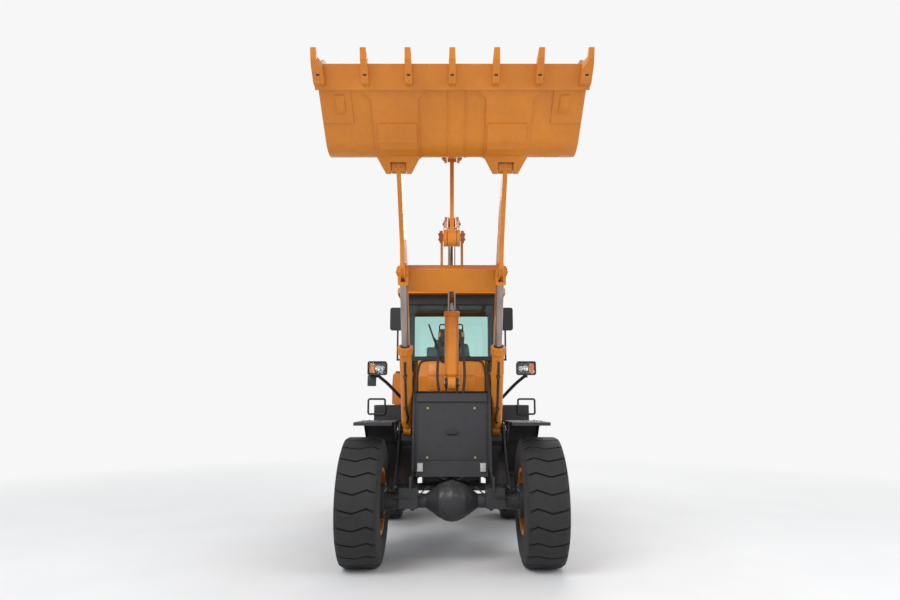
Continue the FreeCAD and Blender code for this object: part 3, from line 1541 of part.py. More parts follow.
def hood():
    """The engine's hood: a roof with open sides and back, on its own frame."""
    piece = Piece("hood")
    half = S.hood_half
    wall = S.hood_wall
    front = S.cab_back + 60
    back = S.hood_end
    top = S.hood_top
    piece.pad("side", [[
        (front, top, 12),
        (back - 500, top, 400),
        (back, top - 110, 60),
        (back, top - 170),
        (back - 30, top - 170),
        (back - 40, top - 140, 40),
        (back - 500, top - wall, 370),
        (front, top - wall),
    ]], -half, half)
    posts = [
        piece.pad("side", [oblong(front, front + 80, S.hood_bottom, top - 20)], half - wall, half),
        piece.pad("side", [oblong(back - 80, back, S.hood_bottom, top - 185)], half - wall, half),
        piece.pad("side", [oblong(front, back, S.hood_bottom, S.fender_top + 6)], half - wall, half),
        piece.pad(
            "side",
            [[
                (front, top - 194),
                (back, top - 194),
                (back, top - 150),
                (back - 60, top - 118),
                (back - 500, top - 12),
                (front, top - 12),
            ]],
            half - wall,
            half,
        ),
    ]
    piece.mirror(posts)
    piece.pad("front", [oblong(-half, half, S.hood_bottom + 50, top - 12)], front, front + wall)
    piece.pad("front", [oblong(-half, half, S.hood_bottom, S.weight_top + 9)], back - wall, back)
    knuckles = []
    axis = S.hood_half + 12
    height = S.hood_top - 194 - S.door_gap + 3
    for y in (front + 260, back - 300):
        for low in (y - 40.3, y + 50.3):
            knuckles.append(piece.pad("front", [circle(axis, height, 9)], low, low + 40))
            knuckles.append(piece.pad("front", [oblong(half - 6, axis, height + 3, height + 9)], low, low + 40))
    piece.mirror(knuckles)
    swing_x = S.hood_half - wall - S.door_gap + 3
    for z in (S.weight_top + 90, S.hood_top - 330):
        for low in (z - 40.3, z + 50.3):
            piece.pad("top", [circle(swing_x, back + 12, 9)], low, low + 40)
            piece.pad("top", [oblong(swing_x + 3, swing_x + 9, back - 4, back + 12)], low, low + 40)


def hood_doors():
    """The side doors of the hood, hinged along their top edge."""
    half = S.hood_half
    front = S.cab_back + 60 + 80 + S.door_gap
    back = S.hood_end - 80 - S.door_gap
    low = S.fender_top + 6 + S.door_gap
    high = S.hood_top - 194 - S.door_gap
    for name, side in (("left", 1), ("right", -1)):
        piece = Piece("hood_door_" + name)
        edges = sorted(((half - S.hood_wall) * side, half * side), key=value_of)
        piece.pad("side", [oblong(front, back, low, high, 20)], edges[0], edges[1])
        axis = (half + 12) * side
        face = (half - 6) * side
        leaf = sorted((face, axis), key=value_of)
        for y in (S.cab_back + 320, S.hood_end - 300):
            piece.pad("front", [circle(axis, high + 3, 9)], y, y + 50)
            piece.pad("front", [oblong(leaf[0], leaf[1], high - 16, high + 1)], y, y + 50)
        for step in range(7):
            z = low + 70 + step * 42
            slot = [
                (back - 460, z),
                (back - 70, z),
                (back - 70, z + 18),
                (back - 460, z + 18),
            ]
            piece.cut("side", [slot], edges[0] - 1, edges[1] + 1)


def rear_grille():
    """The rear grille, a frame with bars, hinged at its left edge."""
    piece = Piece("rear_grille")
    half = S.hood_half - S.hood_wall - S.door_gap
    low = S.weight_top + 15
    high = S.hood_top - 200
    back = S.hood_end
    piece.pad("front", [
        oblong(-half, half, low, high, 20),
        oblong(-half + 50, half - 50, low + 50, high - 50, 10),
    ], back - 36, back)
    bars = 12
    pitch = (high - low - 100) / (bars + 1)
    one = piece.pad("front", [oblong(-half + 45, half - 45, low + 50 + pitch - 9, low + 50 + pitch + 9)],
                    back - 30, back - 8)
    piece.row([one], "Z", pitch * (bars - 1), bars)
    for z in (S.weight_top + 90, S.hood_top - 330):
        piece.pad("top", [circle(half + 3, back + 12, 9)], z, z + 50)
        piece.pad("top", [oblong(half - 16, half + 1, back - 4, back + 12)], z, z + 50)


def counterweight():
    """The cast counterweight across the rear, with a tow eye."""
    piece = Piece("counterweight")
    half = S.weight_half
    tail = S.tail_y
    piece.pad("top", [[
        (-half, S.rear_frame_end - 330, 60),
        (-half + 60, tail - 190, 160),
        (-420, tail, 120),
        (420, tail, 120),
        (half - 60, tail - 190, 160),
        (half, S.rear_frame_end - 330, 60),
        (S.hood_half + 14, S.rear_frame_end - 330),
        (S.hood_half + 14, S.rear_frame_end + 0.3),
        (-S.hood_half - 14, S.rear_frame_end + 0.3),
        (-S.hood_half - 14, S.rear_frame_end - 330),
    ]], S.weight_bottom, S.weight_top)
    # Recesses that leave two lugs for a tow pin
    slots = (
        # low, high
        (S.weight_bottom - 10, S.tow_low),
        (S.tow_low + 60, S.tow_high - 60),
        (S.tow_high, S.weight_top + 10),
    )
    for low, high in slots:
        piece.cut("top", [oblong(-S.tow_half, S.tow_half, S.tow_y - 75, tail + 10)], low, high)
    piece.cut("top", [circle(0, S.tow_y, S.tow_r)], S.tow_low - 5, S.tow_high + 5)


def engine():
    """The engine with its radiator, as one closed block."""
    piece = Piece("engine")
    front = S.cab_back + 160
    piece.pad("top", [oblong(-290, 290, front, S.hood_end - 60)], 1180, 1980)
    foot = S.rear_rail_half - S.frame_plate
    piece.pad("front", [oblong(-foot, foot, 1155, 1190)], front + 120, front + 200)
    piece.pad("front", [oblong(-foot, foot, 1155, 1190)], S.hood_end - 300, S.hood_end - 220)


def exhaust():
    """The exhaust stack and the air cleaner's cap on the hood."""
    piece = Piece("exhaust")
    y = S.cab_back + 330
    top = S.hood_top
    piece.pad("top", [circle(-210, y, 62)], top + 0.3, top + 330)
    piece.pad("top", [circle(-210, y, 38)], top + 330, top + 560)
    intake = Piece("air_intake")
    intake.pad("top", [circle(210, y, 55)], top + 0.3, top + 190)
    intake.pad("top", [circle(210, y, 105)], top + 190, top + 300)


def decks():
    """The platforms beside the cab with their steps."""
    piece = Piece("decks")
    inner = S.cab_half + 20
    out = S.deck_out
    top = S.deck_z
    low = top - S.deck_deep
    front = 255
    back = REAR_AXLE_Y - 474
    features = [
        piece.pad("top", [oblong(inner, out, front, back)], low, top),
        piece.pad("side", [oblong(330, 410, 1230.3, low + 2)], S.cab_half - 60, S.cab_half + 60),
    ]
    # Ladder below the platform
    side_low = 520
    ladder_back = REAR_AXLE_Y - S.tyre_radius - 130
    for y in (front + 20, ladder_back - 40):
        features.append(
            piece.pad("side", [oblong(y, y + 40, side_low, low + 4)], out - 120, out - 108)
        )
    for height in (side_low, side_low + 300, side_low + 600):
        features.append(
            piece.pad("top", [oblong(out - 200, out, front + 10, ladder_back, 12)], height, height + 30)
        )
    piece.mirror(features)


def handrails():
    """Low tube loops on the front of the platforms."""
    piece = Piece("handrails")
    front = 254.7
    top = S.deck_z + 95
    loop = [
        piece.pad("front", [oblong(S.deck_out - 160, S.deck_out - 134, S.deck_z - 120, top)], front - 26, front),
        piece.pad("front", [oblong(S.deck_out + 64, S.deck_out + 90, S.deck_z - 120, top)], front - 26, front),
        piece.pad("front", [oblong(S.deck_out - 160, S.deck_out + 90, top - 26, top, 12)], front - 26, front),
        piece.pad("front", [oblong(S.deck_out - 160, S.deck_out + 90, S.deck_z - 130, S.deck_z - 104, 12)],
                  front - 26, front),
    ]
    piece.mirror(loop)


def tanks():
    """The narrow tank on the right-hand platform and the battery box on the left."""
    piece = Piece("oil_tank")
    piece.pad("front", [oblong(-810, -690, S.deck_z + 0.3, S.deck_z + 440, 50)], 420, 900)


def mirrors():
    """The mirrors on their arms beside the cab's front pillars."""
    piece = Piece("mirrors")
    front = S.cab_front
    half = S.cab_half
    features = [
        piece.pad("front", [oblong(660, 820, 2640, 2945, 30)], front - 120, front - 75),
        piece.pad("top", [circle(720, front - 60, 12)], 2240, 2925),
        piece.pad("front", [oblong(half - 6, 732, 2240, 2264)], front - 72, front - 48),
        piece.pad("side", [oblong(front - 72, front - 0.3, 2240, 2264)], half - 30, half - 4),
        piece.pad("front", [oblong(708, 732, 2900, 2924)], front - 80, front - 50),
    ]
    piece.mirror(features)


def headlamps():
    """The lamps on the front frame with the tubes that carry them."""
    brackets = Piece("lamp_brackets")
    root_y = from_axle(720)
    features = [
        brackets.pad("front", [oblong(S.frame_half + 0.3, 700, 1682, 1718)], root_y - 18, root_y + 18),
        brackets.pad("side", [bar((root_y, 1700), (from_axle(300), 1990), 18, 18)], 664, 700),
        brackets.pad("front", [oblong(664, 860, 1965, 2001)], from_axle(282), from_axle(318)),
    ]
    brackets.mirror(features)
    lamps = Piece("headlamps")
    body = [
        lamps.pad("front", [oblong(745, 955, 2001.3, 2150, 26)], from_axle(250), from_axle(350)),
    ]
    lamps.mirror(body)


def rear_lamps():
    piece = Piece("rear_lamps")
    tail = S.tail_y - 260
    one = piece.pad("front", [oblong(720, 900, S.weight_top + 0.3, S.weight_top + 110, 14)], tail - 60, tail)
    piece.mirror([one])


for place in WHEEL_PLACES:
    tyre(*place)
    rim(*place)
axle("front_axle", S.front_axle_y, -1)
axle("rear_axle", REAR_AXLE_Y, 1)
front_frame()
front_cover()
front_fenders()
rear_frame()
driveshaft()
boom()
bell_pin()
bellcrank()
link_pin()
link()
tilt_cylinder()
lift_cylinders()
bucket()
bucket_edge()
bucket_pins()
steering_cylinder("left", 1)
steering_cylinder("right", -1)
cab_base()
cab_frame()
cab_roof()
cab_glass()
cab_door()
seat()
steering_console()
hood()
hood_doors()
rear_grille()
counterweight()
engine()
exhaust()
decks()
handrails()
tanks()
mirrors()
headlamps()
rear_lamps()
rear_fenders()

doc.recompute()

for thing in doc.Objects:
    if "Invalid" in thing.State or "Error" in thing.State:
        raise RuntimeError(thing.Label + " has failed: " + str(thing.State))

os.makedirs("parts", exist_ok=True)
for piece in PIECES:
    shape = piece.body.Shape
    if shape.isNull() or not shape.isValid():
        raise RuntimeError(piece.body.Label + " has no valid shape")
    shape.exportStep(os.path.join("parts", piece.body.Label + ".step"))
    print(piece.body.Label, len(shape.Solids), "solids", round(shape.Volume / 1e6, 1), "litres")
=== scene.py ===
import json
import math

import bmesh
import bpy
from mathutils import Matrix, Vector

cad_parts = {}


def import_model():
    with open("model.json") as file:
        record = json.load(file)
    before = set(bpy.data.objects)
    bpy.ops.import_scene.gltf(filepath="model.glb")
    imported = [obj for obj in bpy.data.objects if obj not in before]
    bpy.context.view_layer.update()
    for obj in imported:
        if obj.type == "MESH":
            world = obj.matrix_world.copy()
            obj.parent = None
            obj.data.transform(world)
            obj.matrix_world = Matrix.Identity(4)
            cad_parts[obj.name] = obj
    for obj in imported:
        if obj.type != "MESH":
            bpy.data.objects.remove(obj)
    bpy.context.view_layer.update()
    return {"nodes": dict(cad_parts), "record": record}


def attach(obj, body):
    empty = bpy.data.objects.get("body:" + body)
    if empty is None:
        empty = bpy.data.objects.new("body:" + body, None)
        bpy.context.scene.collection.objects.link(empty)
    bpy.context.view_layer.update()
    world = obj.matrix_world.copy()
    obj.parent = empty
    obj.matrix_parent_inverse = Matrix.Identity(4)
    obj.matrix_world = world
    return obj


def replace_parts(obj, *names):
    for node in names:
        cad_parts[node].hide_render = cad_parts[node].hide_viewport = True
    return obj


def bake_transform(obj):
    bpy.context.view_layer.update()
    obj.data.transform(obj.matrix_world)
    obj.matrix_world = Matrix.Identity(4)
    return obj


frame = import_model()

NODES = frame["nodes"]
SIDES = (1, -1)

# Colours
YELLOW = (0.69, 0.222, 0.007)
YELLOW_DARK = (0.57, 0.168, 0.006)
WHITE = (0.93, 0.93, 0.93, 1)

# Where the main things are, in metres
FRONT_AXLE_Y = -1.325
REAR_AXLE_Y = 1.465
AXLE_Z = 0.66
TRACK = 1.88
TOW_PIN = (0, 3.265)
EXHAUST = (-0.21, 1.78)
INTAKE = (0.21, 1.78)
FENDER_TOP = 1.490
HEADLAMP_Y = FRONT_AXLE_Y + 0.25
COVER_NORMAL = Vector((0, -0.9883, 0.1526))
CAMERA_AHEAD = 6.81
CAMERA_HEIGHT = 1.684
CAMERA_PITCH = 9.508
CAMERA_FOCAL = 615 / 900 * 36


# Materials


class Shader:
    """Builds a material's nodes, with short names for the ones used most."""

    def __init__(self, name):
        self.material = bpy.data.materials.new(name)
        self.material.use_nodes = True
        self.tree = self.material.node_tree
        self.bsdf = self.tree.nodes["Principled BSDF"]
        self.places = self.add("ShaderNodeTexCoord")
        self.coords = self.places.outputs["Object"]

    def add(self, kind, **values):
        node = self.tree.nodes.new(kind)
        for key, value in values.items():
            setattr(node, key, value)
        return node

    def link(self, source, target):
        self.tree.links.new(source, target)

    def feed(self, socket, value):
        """Give a socket another node's output, a colour or a number."""
        if isinstance(value, bpy.types.NodeSocket):
            self.link(value, socket)
        else:
            socket.default_value = (*value, 1) if isinstance(value, tuple) else value

    def mapped(self, stretch=(1, 1, 1), shift=(0, 0, 0)):
        mapping = self.add("ShaderNodeMapping")
        mapping.inputs["Scale"].default_value = stretch
        mapping.inputs["Location"].default_value = shift
        self.link(self.coords, mapping.inputs["Vector"])
        return mapping.outputs["Vector"]

    def noise(self, scale, detail=4.0, rough=0.55, stretch=(1, 1, 1)):
        node = self.add("ShaderNodeTexNoise")
        node.inputs["Scale"].default_value = scale
        node.inputs["Detail"].default_value = detail
        node.inputs["Roughness"].default_value = rough
        self.link(self.mapped(stretch), node.inputs["Vector"])
        return node.outputs["Fac"]

    def ramp(self, source, stops):
        node = self.add("ShaderNodeValToRGB")
        elements = node.color_ramp.elements
        while len(elements) < len(stops):
            elements.new(0.5)
        for element, (place, value) in zip(elements, stops):
            element.position = place
            element.color = (value, value, value, 1) if isinstance(value, (int, float)) else (*value, 1)
        self.link(source, node.inputs["Fac"])
        return node.outputs["Color"]

    def mix(self, factor, first, second):
        node = self.add("ShaderNodeMix", data_type="RGBA")
        for socket, value in (("Factor", factor), ("A", first), ("B", second)):
            self.feed(node.inputs[socket], value)
        return node.outputs["Result"]

    def maths(self, kind, first, second=0.5):
        node = self.add("ShaderNodeMath", operation=kind)
        self.feed(node.inputs[0], first)
        self.feed(node.inputs[1], second)
        return node.outputs[0]

    def times(self, first, second):
        return self.maths("MULTIPLY", first, second)

    def plus(self, first, second):
        return self.maths("ADD", first, second)

    def minus(self, first, second):
        return self.maths("SUBTRACT", first, second)

    def patches(self, low, high, *noise):
        """Soft patches of a noise, from 0 below the low share of it to 1 above the high one."""
        return self.ramp(self.noise(*noise), ((low, 0), (high, 1)))

    def split(self, vector):
        node = self.add("ShaderNodeSeparateXYZ")
        self.link(vector, node.inputs[0])
        return node.outputs["X"], node.outputs["Y"], node.outputs["Z"]

    def upward(self):
        """How far a face looks up, from 0 to 1."""
        geometry = self.add("ShaderNodeNewGeometry")
        return self.maths("MAXIMUM", self.split(geometry.outputs["True Normal"])[2], 0.0)

    def rounded(self, radius):
        """A normal with the edges rounded a little, and how near an edge a point is."""
        bevel = self.add("ShaderNodeBevel", samples=4)
        bevel.inputs["Radius"].default_value = radius
        geometry = self.add("ShaderNodeNewGeometry")
        dot = self.add("ShaderNodeVectorMath", operation="DOT_PRODUCT")
        self.link(bevel.outputs[0], dot.inputs[0])
        self.link(geometry.outputs["Normal"], dot.inputs[1])
        return bevel.outputs[0], self.minus(1.0, dot.outputs["Value"])

    def bump(self, height, strength, distance, normal=None):
        node = self.add("ShaderNodeBump")
        node.inputs["Strength"].default_value = strength
        node.inputs["Distance"].default_value = distance
        self.link(height, node.inputs["Height"])
        if normal is not None:
            self.link(normal, node.inputs["Normal"])
        self.link(node.outputs[0], self.bsdf.inputs["Normal"])

    def set(self, **values):
        for key, value in values.items():
            self.feed(self.bsdf.inputs[key.replace("_", " ")], value)


def paint(name, colour, dark, dust=(0.42, 0.36, 0.28), dust_share=0.35, rough=0.42, worn=None):
    """Machine paint with slow shade changes, dust on what looks up, scuffs and rounded edges."""
    s = Shader(name)
    slow = s.patches(0.3, 0.72, 1.7, 5)
    base = s.mix(slow, colour, dark)
    streaks = s.patches(0.5, 0.78, 6, 6, 0.65, (3, 3, 0.35))
    base = s.mix(s.times(streaks, 0.25), base, tuple(c * 0.62 for c in dark))
    grime = s.patches(0.42, 0.66, 9, 8, 0.7)
    top = s.times(s.upward(), grime)
    base = s.mix(s.times(top, dust_share), base, dust)
    specks = s.patches(0.69, 0.74, 60, 3, 0.6)
    base = s.mix(s.times(specks, 0.35), base, tuple(c * 0.5 for c in dark))
    normal, edges = s.rounded(0.004)
    chips = s.times(s.ramp(edges, ((0.03, 0), (0.22, 1))), s.patches(0.5, 0.6, 38, 5, 0.7))
    base = s.mix(s.times(chips, 0.6), base, (0.09, 0.075, 0.065))
    if worn is not None:
        base = worn(s, base)
    s.set(Base_Color=base, Roughness=s.plus(s.times(grime, 0.22), rough), Coat_Weight=0.12)
    s.bump(s.noise(420, 2, 0.5), 0.12, 0.0006, normal)
    return s.material


def bucket_inside(s, base):
    """Bare, scratched and rusty steel on the faces of the bucket that look at its load."""
    middle = BUCKET @ Vector((0, -0.45, 0.30))
    x, y, z = s.split(s.coords)
    nx, ny, nz = s.split(s.places.outputs["Normal"])
    toward_load = s.plus(s.times(ny, s.minus(middle.y, y)), s.times(nz, s.minus(middle.z, z)))
    shell = s.maths("GREATER_THAN", toward_load, 0.06)
    cheek = s.maths("LESS_THAN", s.times(nx, x), -1.1)
    inside = s.maths("MAXIMUM", shell, cheek)
    scratches = s.patches(0.35, 0.7, 14, 7, 0.75, (6, 1, 1))
    steel = s.mix(scratches, (0.16, 0.145, 0.13), (0.32, 0.27, 0.22))
    rust = s.patches(0.5, 0.66, 5, 8, 0.7)
    steel = s.mix(s.times(rust, 0.6), steel, (0.17, 0.075, 0.03))
    left = s.patches(0.32, 0.42, 3.1, 6, 0.65)
    return s.mix(s.times(inside, left), base, steel)


def metal(name, colour, rough, scratch=0.1, metallic=1.0):
    """Bare metal with cloudy shades and fine scratches."""
    s = Shader(name)
    cloud = s.patches(0.35, 0.7, 7, 6, 0.6)
    base = s.mix(s.times(cloud, 0.4), colour, tuple(c * 0.55 for c in colour))
    fine = s.noise(160, 3, 0.6)
    normal, _ = s.rounded(0.002)
    s.set(Base_Color=base, Metallic=metallic, Roughness=s.plus(s.times(fine, scratch), rough))
    s.bump(fine, 0.1, 0.0004, normal)
    return s.material


def rod(name, base, tip, painted):
    """A plated rod that is painted from its fork or eye on. The pins are given as (y, z)."""
    s = Shader(name)
    run = Vector((tip[0] - base[0], tip[1] - base[1])).normalized()
    _, y, z = s.split(s.coords)
    reach = s.plus(s.times(s.minus(y, base[0]), run.x), s.times(s.minus(z, base[1]), run.y))
    coat = s.maths("GREATER_THAN", reach, painted)
    cloud = s.patches(0.3, 0.7, 6, 6, 0.6, (1, 1, 0.2))
    plated = s.mix(cloud, (0.40, 0.34, 0.32), (0.26, 0.21, 0.19))
    slow = s.patches(0.3, 0.72, 1.7, 5)
    painted_shade = s.mix(slow, YELLOW, YELLOW_DARK)
    normal, _ = s.rounded(0.003)
    s.set(Base_Color=s.mix(coat, plated, painted_shade), Metallic=s.minus(1.0, coat))
    s.set(Roughness=s.plus(s.times(coat, 0.3), s.times(cloud, 0.14)))
    s.bump(s.noise(420, 2, 0.5), 0.08, 0.0004, normal)
    return s.material


def rubber(name, colour, dust_share=0.3, rough=0.75):
    """Dusty rubber, for hoses and seals."""
    s = Shader(name)
    grime = s.patches(0.4, 0.7, 11, 7, 0.7)
    base = s.mix(s.times(grime, dust_share), colour, (0.14, 0.12, 0.1))
    normal, _ = s.rounded(0.003)
    s.set(Base_Color=base, Roughness=s.plus(s.times(grime, 0.15), rough))
    s.bump(s.noise(240, 4, 0.6), 0.18, 0.0008, normal)
    return s.material


def tyre_rubber(name, axle_y):
    """Tyre rubber with the rings of its mould on the wall and dust in its grooves."""
    s = Shader(name)
    grime = s.patches(0.4, 0.7, 11, 7, 0.7)
    _, y, z = s.split(s.mapped(shift=(0, -axle_y, -AXLE_Z)))
    out = s.maths("SQRT", s.plus(s.times(y, y), s.times(z, z)))
    rings = s.maths("SINE", s.times(out, 330.0))
    rings = s.times(s.maths("MAXIMUM", rings, 0.0), s.maths("LESS_THAN", out, 0.56))
    rings = s.times(rings, s.maths("GREATER_THAN", out, 0.41))
    low = s.ramp(out, ((0.60, 1), (0.648, 0)))
    base = s.mix(s.times(grime, 0.18), (0.010, 0.010, 0.011), (0.09, 0.08, 0.07))
    base = s.mix(s.times(low, 0.3), base, (0.07, 0.062, 0.052))
    normal, _ = s.rounded(0.005)
    s.set(Base_Color=base, Roughness=s.plus(s.times(grime, 0.15), 0.72))
    ridge = s.add("ShaderNodeBump")
    ridge.inputs["Strength"].default_value = 0.5
    ridge.inputs["Distance"].default_value = 0.004
    s.link(rings, ridge.inputs["Height"])
    s.link(normal, ridge.inputs["Normal"])
    s.bump(s.noise(240, 4, 0.6), 0.18, 0.0008, ridge.outputs[0])
    return s.material


def plastic(name, colour, rough=0.5):
    """Grained plastic."""
    s = Shader(name)
    cloud = s.patches(0.35, 0.7, 5, 5)
    base = s.mix(s.times(cloud, 0.3), colour, tuple(min(1, c * 1.7 + 0.01) for c in colour))
    normal, _ = s.rounded(0.003)
    s.set(Base_Color=base, Roughness=s.plus(s.times(cloud, 0.12), rough))
    s.bump(s.noise(520, 2, 0.5), 0.15, 0.0005, normal)
    return s.material


def glass(name, colour):
    """Clear or tinted glass with a thin film of dirt."""
    s = Shader(name)
    film = s.patches(0.45, 0.8, 4, 6, 0.65)
    s.set(Base_Color=colour, Transmission_Weight=1.0, IOR=1.45)
    s.set(Roughness=s.plus(s.times(film, 0.06), 0.02))
    return s.material


def lens(name, colour):
    """A ribbed lamp lens over its bright reflector."""
    ribs = 95.0  # a metre
    s = Shader(name)
    x = s.split(s.coords)[0]
    rib = s.maths("SINE", s.times(x, ribs * 2 * math.pi))
    cloud = s.patches(0.35, 0.7, 30, 3)
    base = s.mix(s.times(cloud, 0.35), colour, tuple(c * 0.6 for c in colour))
    s.set(Base_Color=base, Metallic=0.25, Coat_Weight=0.8)
    s.set(Roughness=s.plus(s.times(cloud, 0.1), 0.12))
    s.bump(rib, 0.35, 0.003)
    return s.material


def cloth(name, colour):
    """A coarse woven seat cover."""
    s = Shader(name)
    x, y, z = s.split(s.coords)
    first = s.maths("SINE", s.times(x, 1500.0))
    second = s.maths("SINE", s.times(s.plus(y, z), 1500.0))
    weave = s.times(first, second)
    cloud = s.patches(0.35, 0.7, 12, 5)
    base = s.mix(s.times(cloud, 0.35), colour, tuple(c * 1.8 for c in colour))
    s.set(Base_Color=base, Roughness=s.plus(s.times(cloud, 0.1), 0.85), Sheen_Weight=0.3)
    s.bump(weave, 0.3, 0.001)
    return s.material


def core(name):
    """The fins of the radiator, with painted shade in the gaps between fins and tubes."""
    s = Shader(name)
    x, _, z = s.split(s.coords)
    fins = s.maths("SINE", s.times(z, 900.0))
    tubes = s.maths("SINE", s.times(x, 380.0))
    # The dark stripes are painted shade in the gaps between the fins and the tubes; the lighter ones are the
    # fins.
    shade = s.ramp(s.times(s.plus(fins, tubes), 0.25), ((0.0, 0.012), (0.4, 0.07)))
    dust = s.patches(0.42, 0.7, 8, 6, 0.7)
    base = s.mix(s.times(dust, 0.4), shade, (0.12, 0.1, 0.08))
    s.set(Base_Color=base, Metallic=0.3, Roughness=s.plus(s.times(dust, 0.2), 0.5))
    s.bump(fins, 0.5, 0.002)
    return s.material


def shift(x, y=0, z=0):
    return Matrix.Translation((x, y, z))


def spin(degrees, axis="X"):
    return Matrix.Rotation(math.radians(degrees), 4, axis)


def along(base, tip):
    """A frame at a pin, with its Z towards another pin. Both are (y, z)."""
    dy = tip[0] - base[0]
    dz = tip[1] - base[1]
    return shift(0, *base) @ Matrix.Rotation(math.atan2(-dy, dz), 4, "X")


def mirrored(*points):
    """A run of points on each side of the loader."""
    return [[(side * x, y, z) for x, y, z in points] for side in SIDES]


def toward(spot, normal):
    """A frame at a point, with its Z along a direction."""
    return Matrix.Translation(spot) @ Vector(normal).to_track_quat("Z", "Y").to_matrix().to_4x4()


BOOM_PIVOT = (-0.665, 1.930)
BUCKET_PIN = (-2.325, 4.010)
BELL_PIN = (-1.4139, 3.5304)
LIFT_BASE = (-0.685, 1.370)
LIFT_PIN = (-1.6477, 3.0828)
TILT_BASE = (-0.945, 1.914)
TILT_EYE = (-0.960, 3.815)
LINK_EYE = (-2.0215, 4.2387)
BUCKET = shift(0, *BUCKET_PIN) @ spin(-39)
BOOM = shift(0, *BOOM_PIVOT) @ Matrix.Rotation(math.atan2(-2.08, 1.66), 4, "X")
BELL_PIN_ON_BOOM = (-1.718, 0.413)
LIFT = along(LIFT_BASE, LIFT_PIN)
LIFT_X = 0.525
TILT = along(TILT_BASE, TILT_EYE)

LOOKS = {
    # look: the slot in the record, the material
    "yellow": ("yellow_paint", paint("yellow_paint", YELLOW, YELLOW_DARK)),
    "bucket": ("yellow_paint", paint("bucket_paint", YELLOW, YELLOW_DARK, worn=bucket_inside)),
    "charcoal": ("charcoal_paint", paint("charcoal_paint", (0.021, 0.021, 0.024), (0.013, 0.013, 0.015),
                                         (0.11, 0.10, 0.09), 0.25, 0.5)),
    "chrome": ("chrome", metal("chrome_rod", (0.40, 0.35, 0.33), 0.1, 0.06)),
    "lift_rod": ("chrome", rod("lift_rod_plating", LIFT_BASE, LIFT_PIN, 1.818)),
    "tilt_rod": ("chrome", rod("tilt_rod_plating", TILT_BASE, TILT_EYE, 1.815)),
    "steel": ("steel", metal("machined_steel", (0.4, 0.38, 0.36), 0.35)),
    "zinc": ("steel", metal("zinc_bolts", (0.55, 0.45, 0.2), 0.35)),
    "brass": ("steel", metal("brass_fitting", (0.62, 0.33, 0.12), 0.3)),
    "glass": ("glass", glass("tinted_glass", (0.66, 0.86, 0.83))),
    "lamp": ("lamp", plastic("lamp_shell", (0.02, 0.02, 0.022), 0.35)),
    "cover": ("lamp", glass("lamp_cover", (0.96, 0.97, 0.97))),
    "bowl": ("lamp", metal("lamp_bowl", (0.72, 0.72, 0.73), 0.12, 0.05)),
    "black": ("black_plastic", plastic("black_plastic", (0.012, 0.012, 0.013))),
    "grey": ("black_plastic", plastic("grey_plastic", (0.10, 0.105, 0.11), 0.55)),
    "hose": ("black_plastic", rubber("hose_rubber", (0.014, 0.014, 0.015), 0.25, 0.55)),
    "seal": ("black_plastic", rubber("seal_rubber", (0.010, 0.010, 0.011), 0.2, 0.6)),
    "clear": ("lamp", lens("clear_lens", (0.72, 0.74, 0.74))),
    "amber": ("lamp", lens("amber_lens", (0.85, 0.24, 0.01))),
    "red": ("lamp", lens("red_lens", (0.45, 0.012, 0.01))),
    "mirror": ("chrome", metal("mirror_face", (0.8, 0.82, 0.84), 0.03, 0.03)),
    "cloth": ("black_plastic", cloth("seat_cloth", (0.045, 0.047, 0.052))),
    "plate": ("black_plastic", plastic("blank_plate", (0.45, 0.45, 0.43), 0.4)),
    "iron": ("engine_iron", metal("engine_iron", (0.1, 0.1, 0.1), 0.6, 0.2, 0.5)),
    "exhaust": ("exhaust_steel", metal("exhaust_steel", (0.2, 0.16, 0.14), 0.5, 0.2, 0.8)),
    "core": ("engine_iron", core("radiator_core")),
    "tyre_front": ("black_plastic", tyre_rubber("front_tyre_rubber", FRONT_AXLE_Y)),
    "tyre_rear": ("black_plastic", tyre_rubber("rear_tyre_rubber", REAR_AXLE_Y)),
}

# A CAD node takes the first look of its slot
NODE_LOOKS = {slot: look for look, (slot, _) in reversed(LOOKS.items())}


def dress(obj, look):
    obj.data.materials.clear()
    obj.data.materials.append(LOOKS[look][1])


for part in frame["record"]["subparts"]:
    name = part["node"]
    node = NODES[name]
    look = NODE_LOOKS.get(part["material_slot"], "yellow")
    if name.startswith("tyre"):
        look = "tyre_front" if "front" in name else "tyre_rear"
    if name in ("bucket", "tilt_rod"):
        look = name
    if name == "lift_rods":
        look = "lift_rod"
    dress(node, look)
    node.data.shade_smooth()
    node.data.set_sharp_from_angle(angle=math.radians(32))


# Making of pieces


def settle(obj, body, look):
    """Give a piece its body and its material."""
    bpy.context.scene.collection.objects.link(obj)
    dress(obj, look)
    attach(obj, body)
    return obj


WASHER = ((0, 0), (1.3, 0), (1.3, 0.22), (0, 0.22))
BOLT_HEAD = ((0, 0.2), (1, 0.2), (1, 0.8), (0.84, 0.95), (0, 0.95))


def circle(radius, count, start=0.0):
    """Points that share out a circle."""
    angles = [start + 2 * math.pi * i / count for i in range(count)]
    return [(radius * math.cos(a), radius * math.sin(a)) for a in angles]


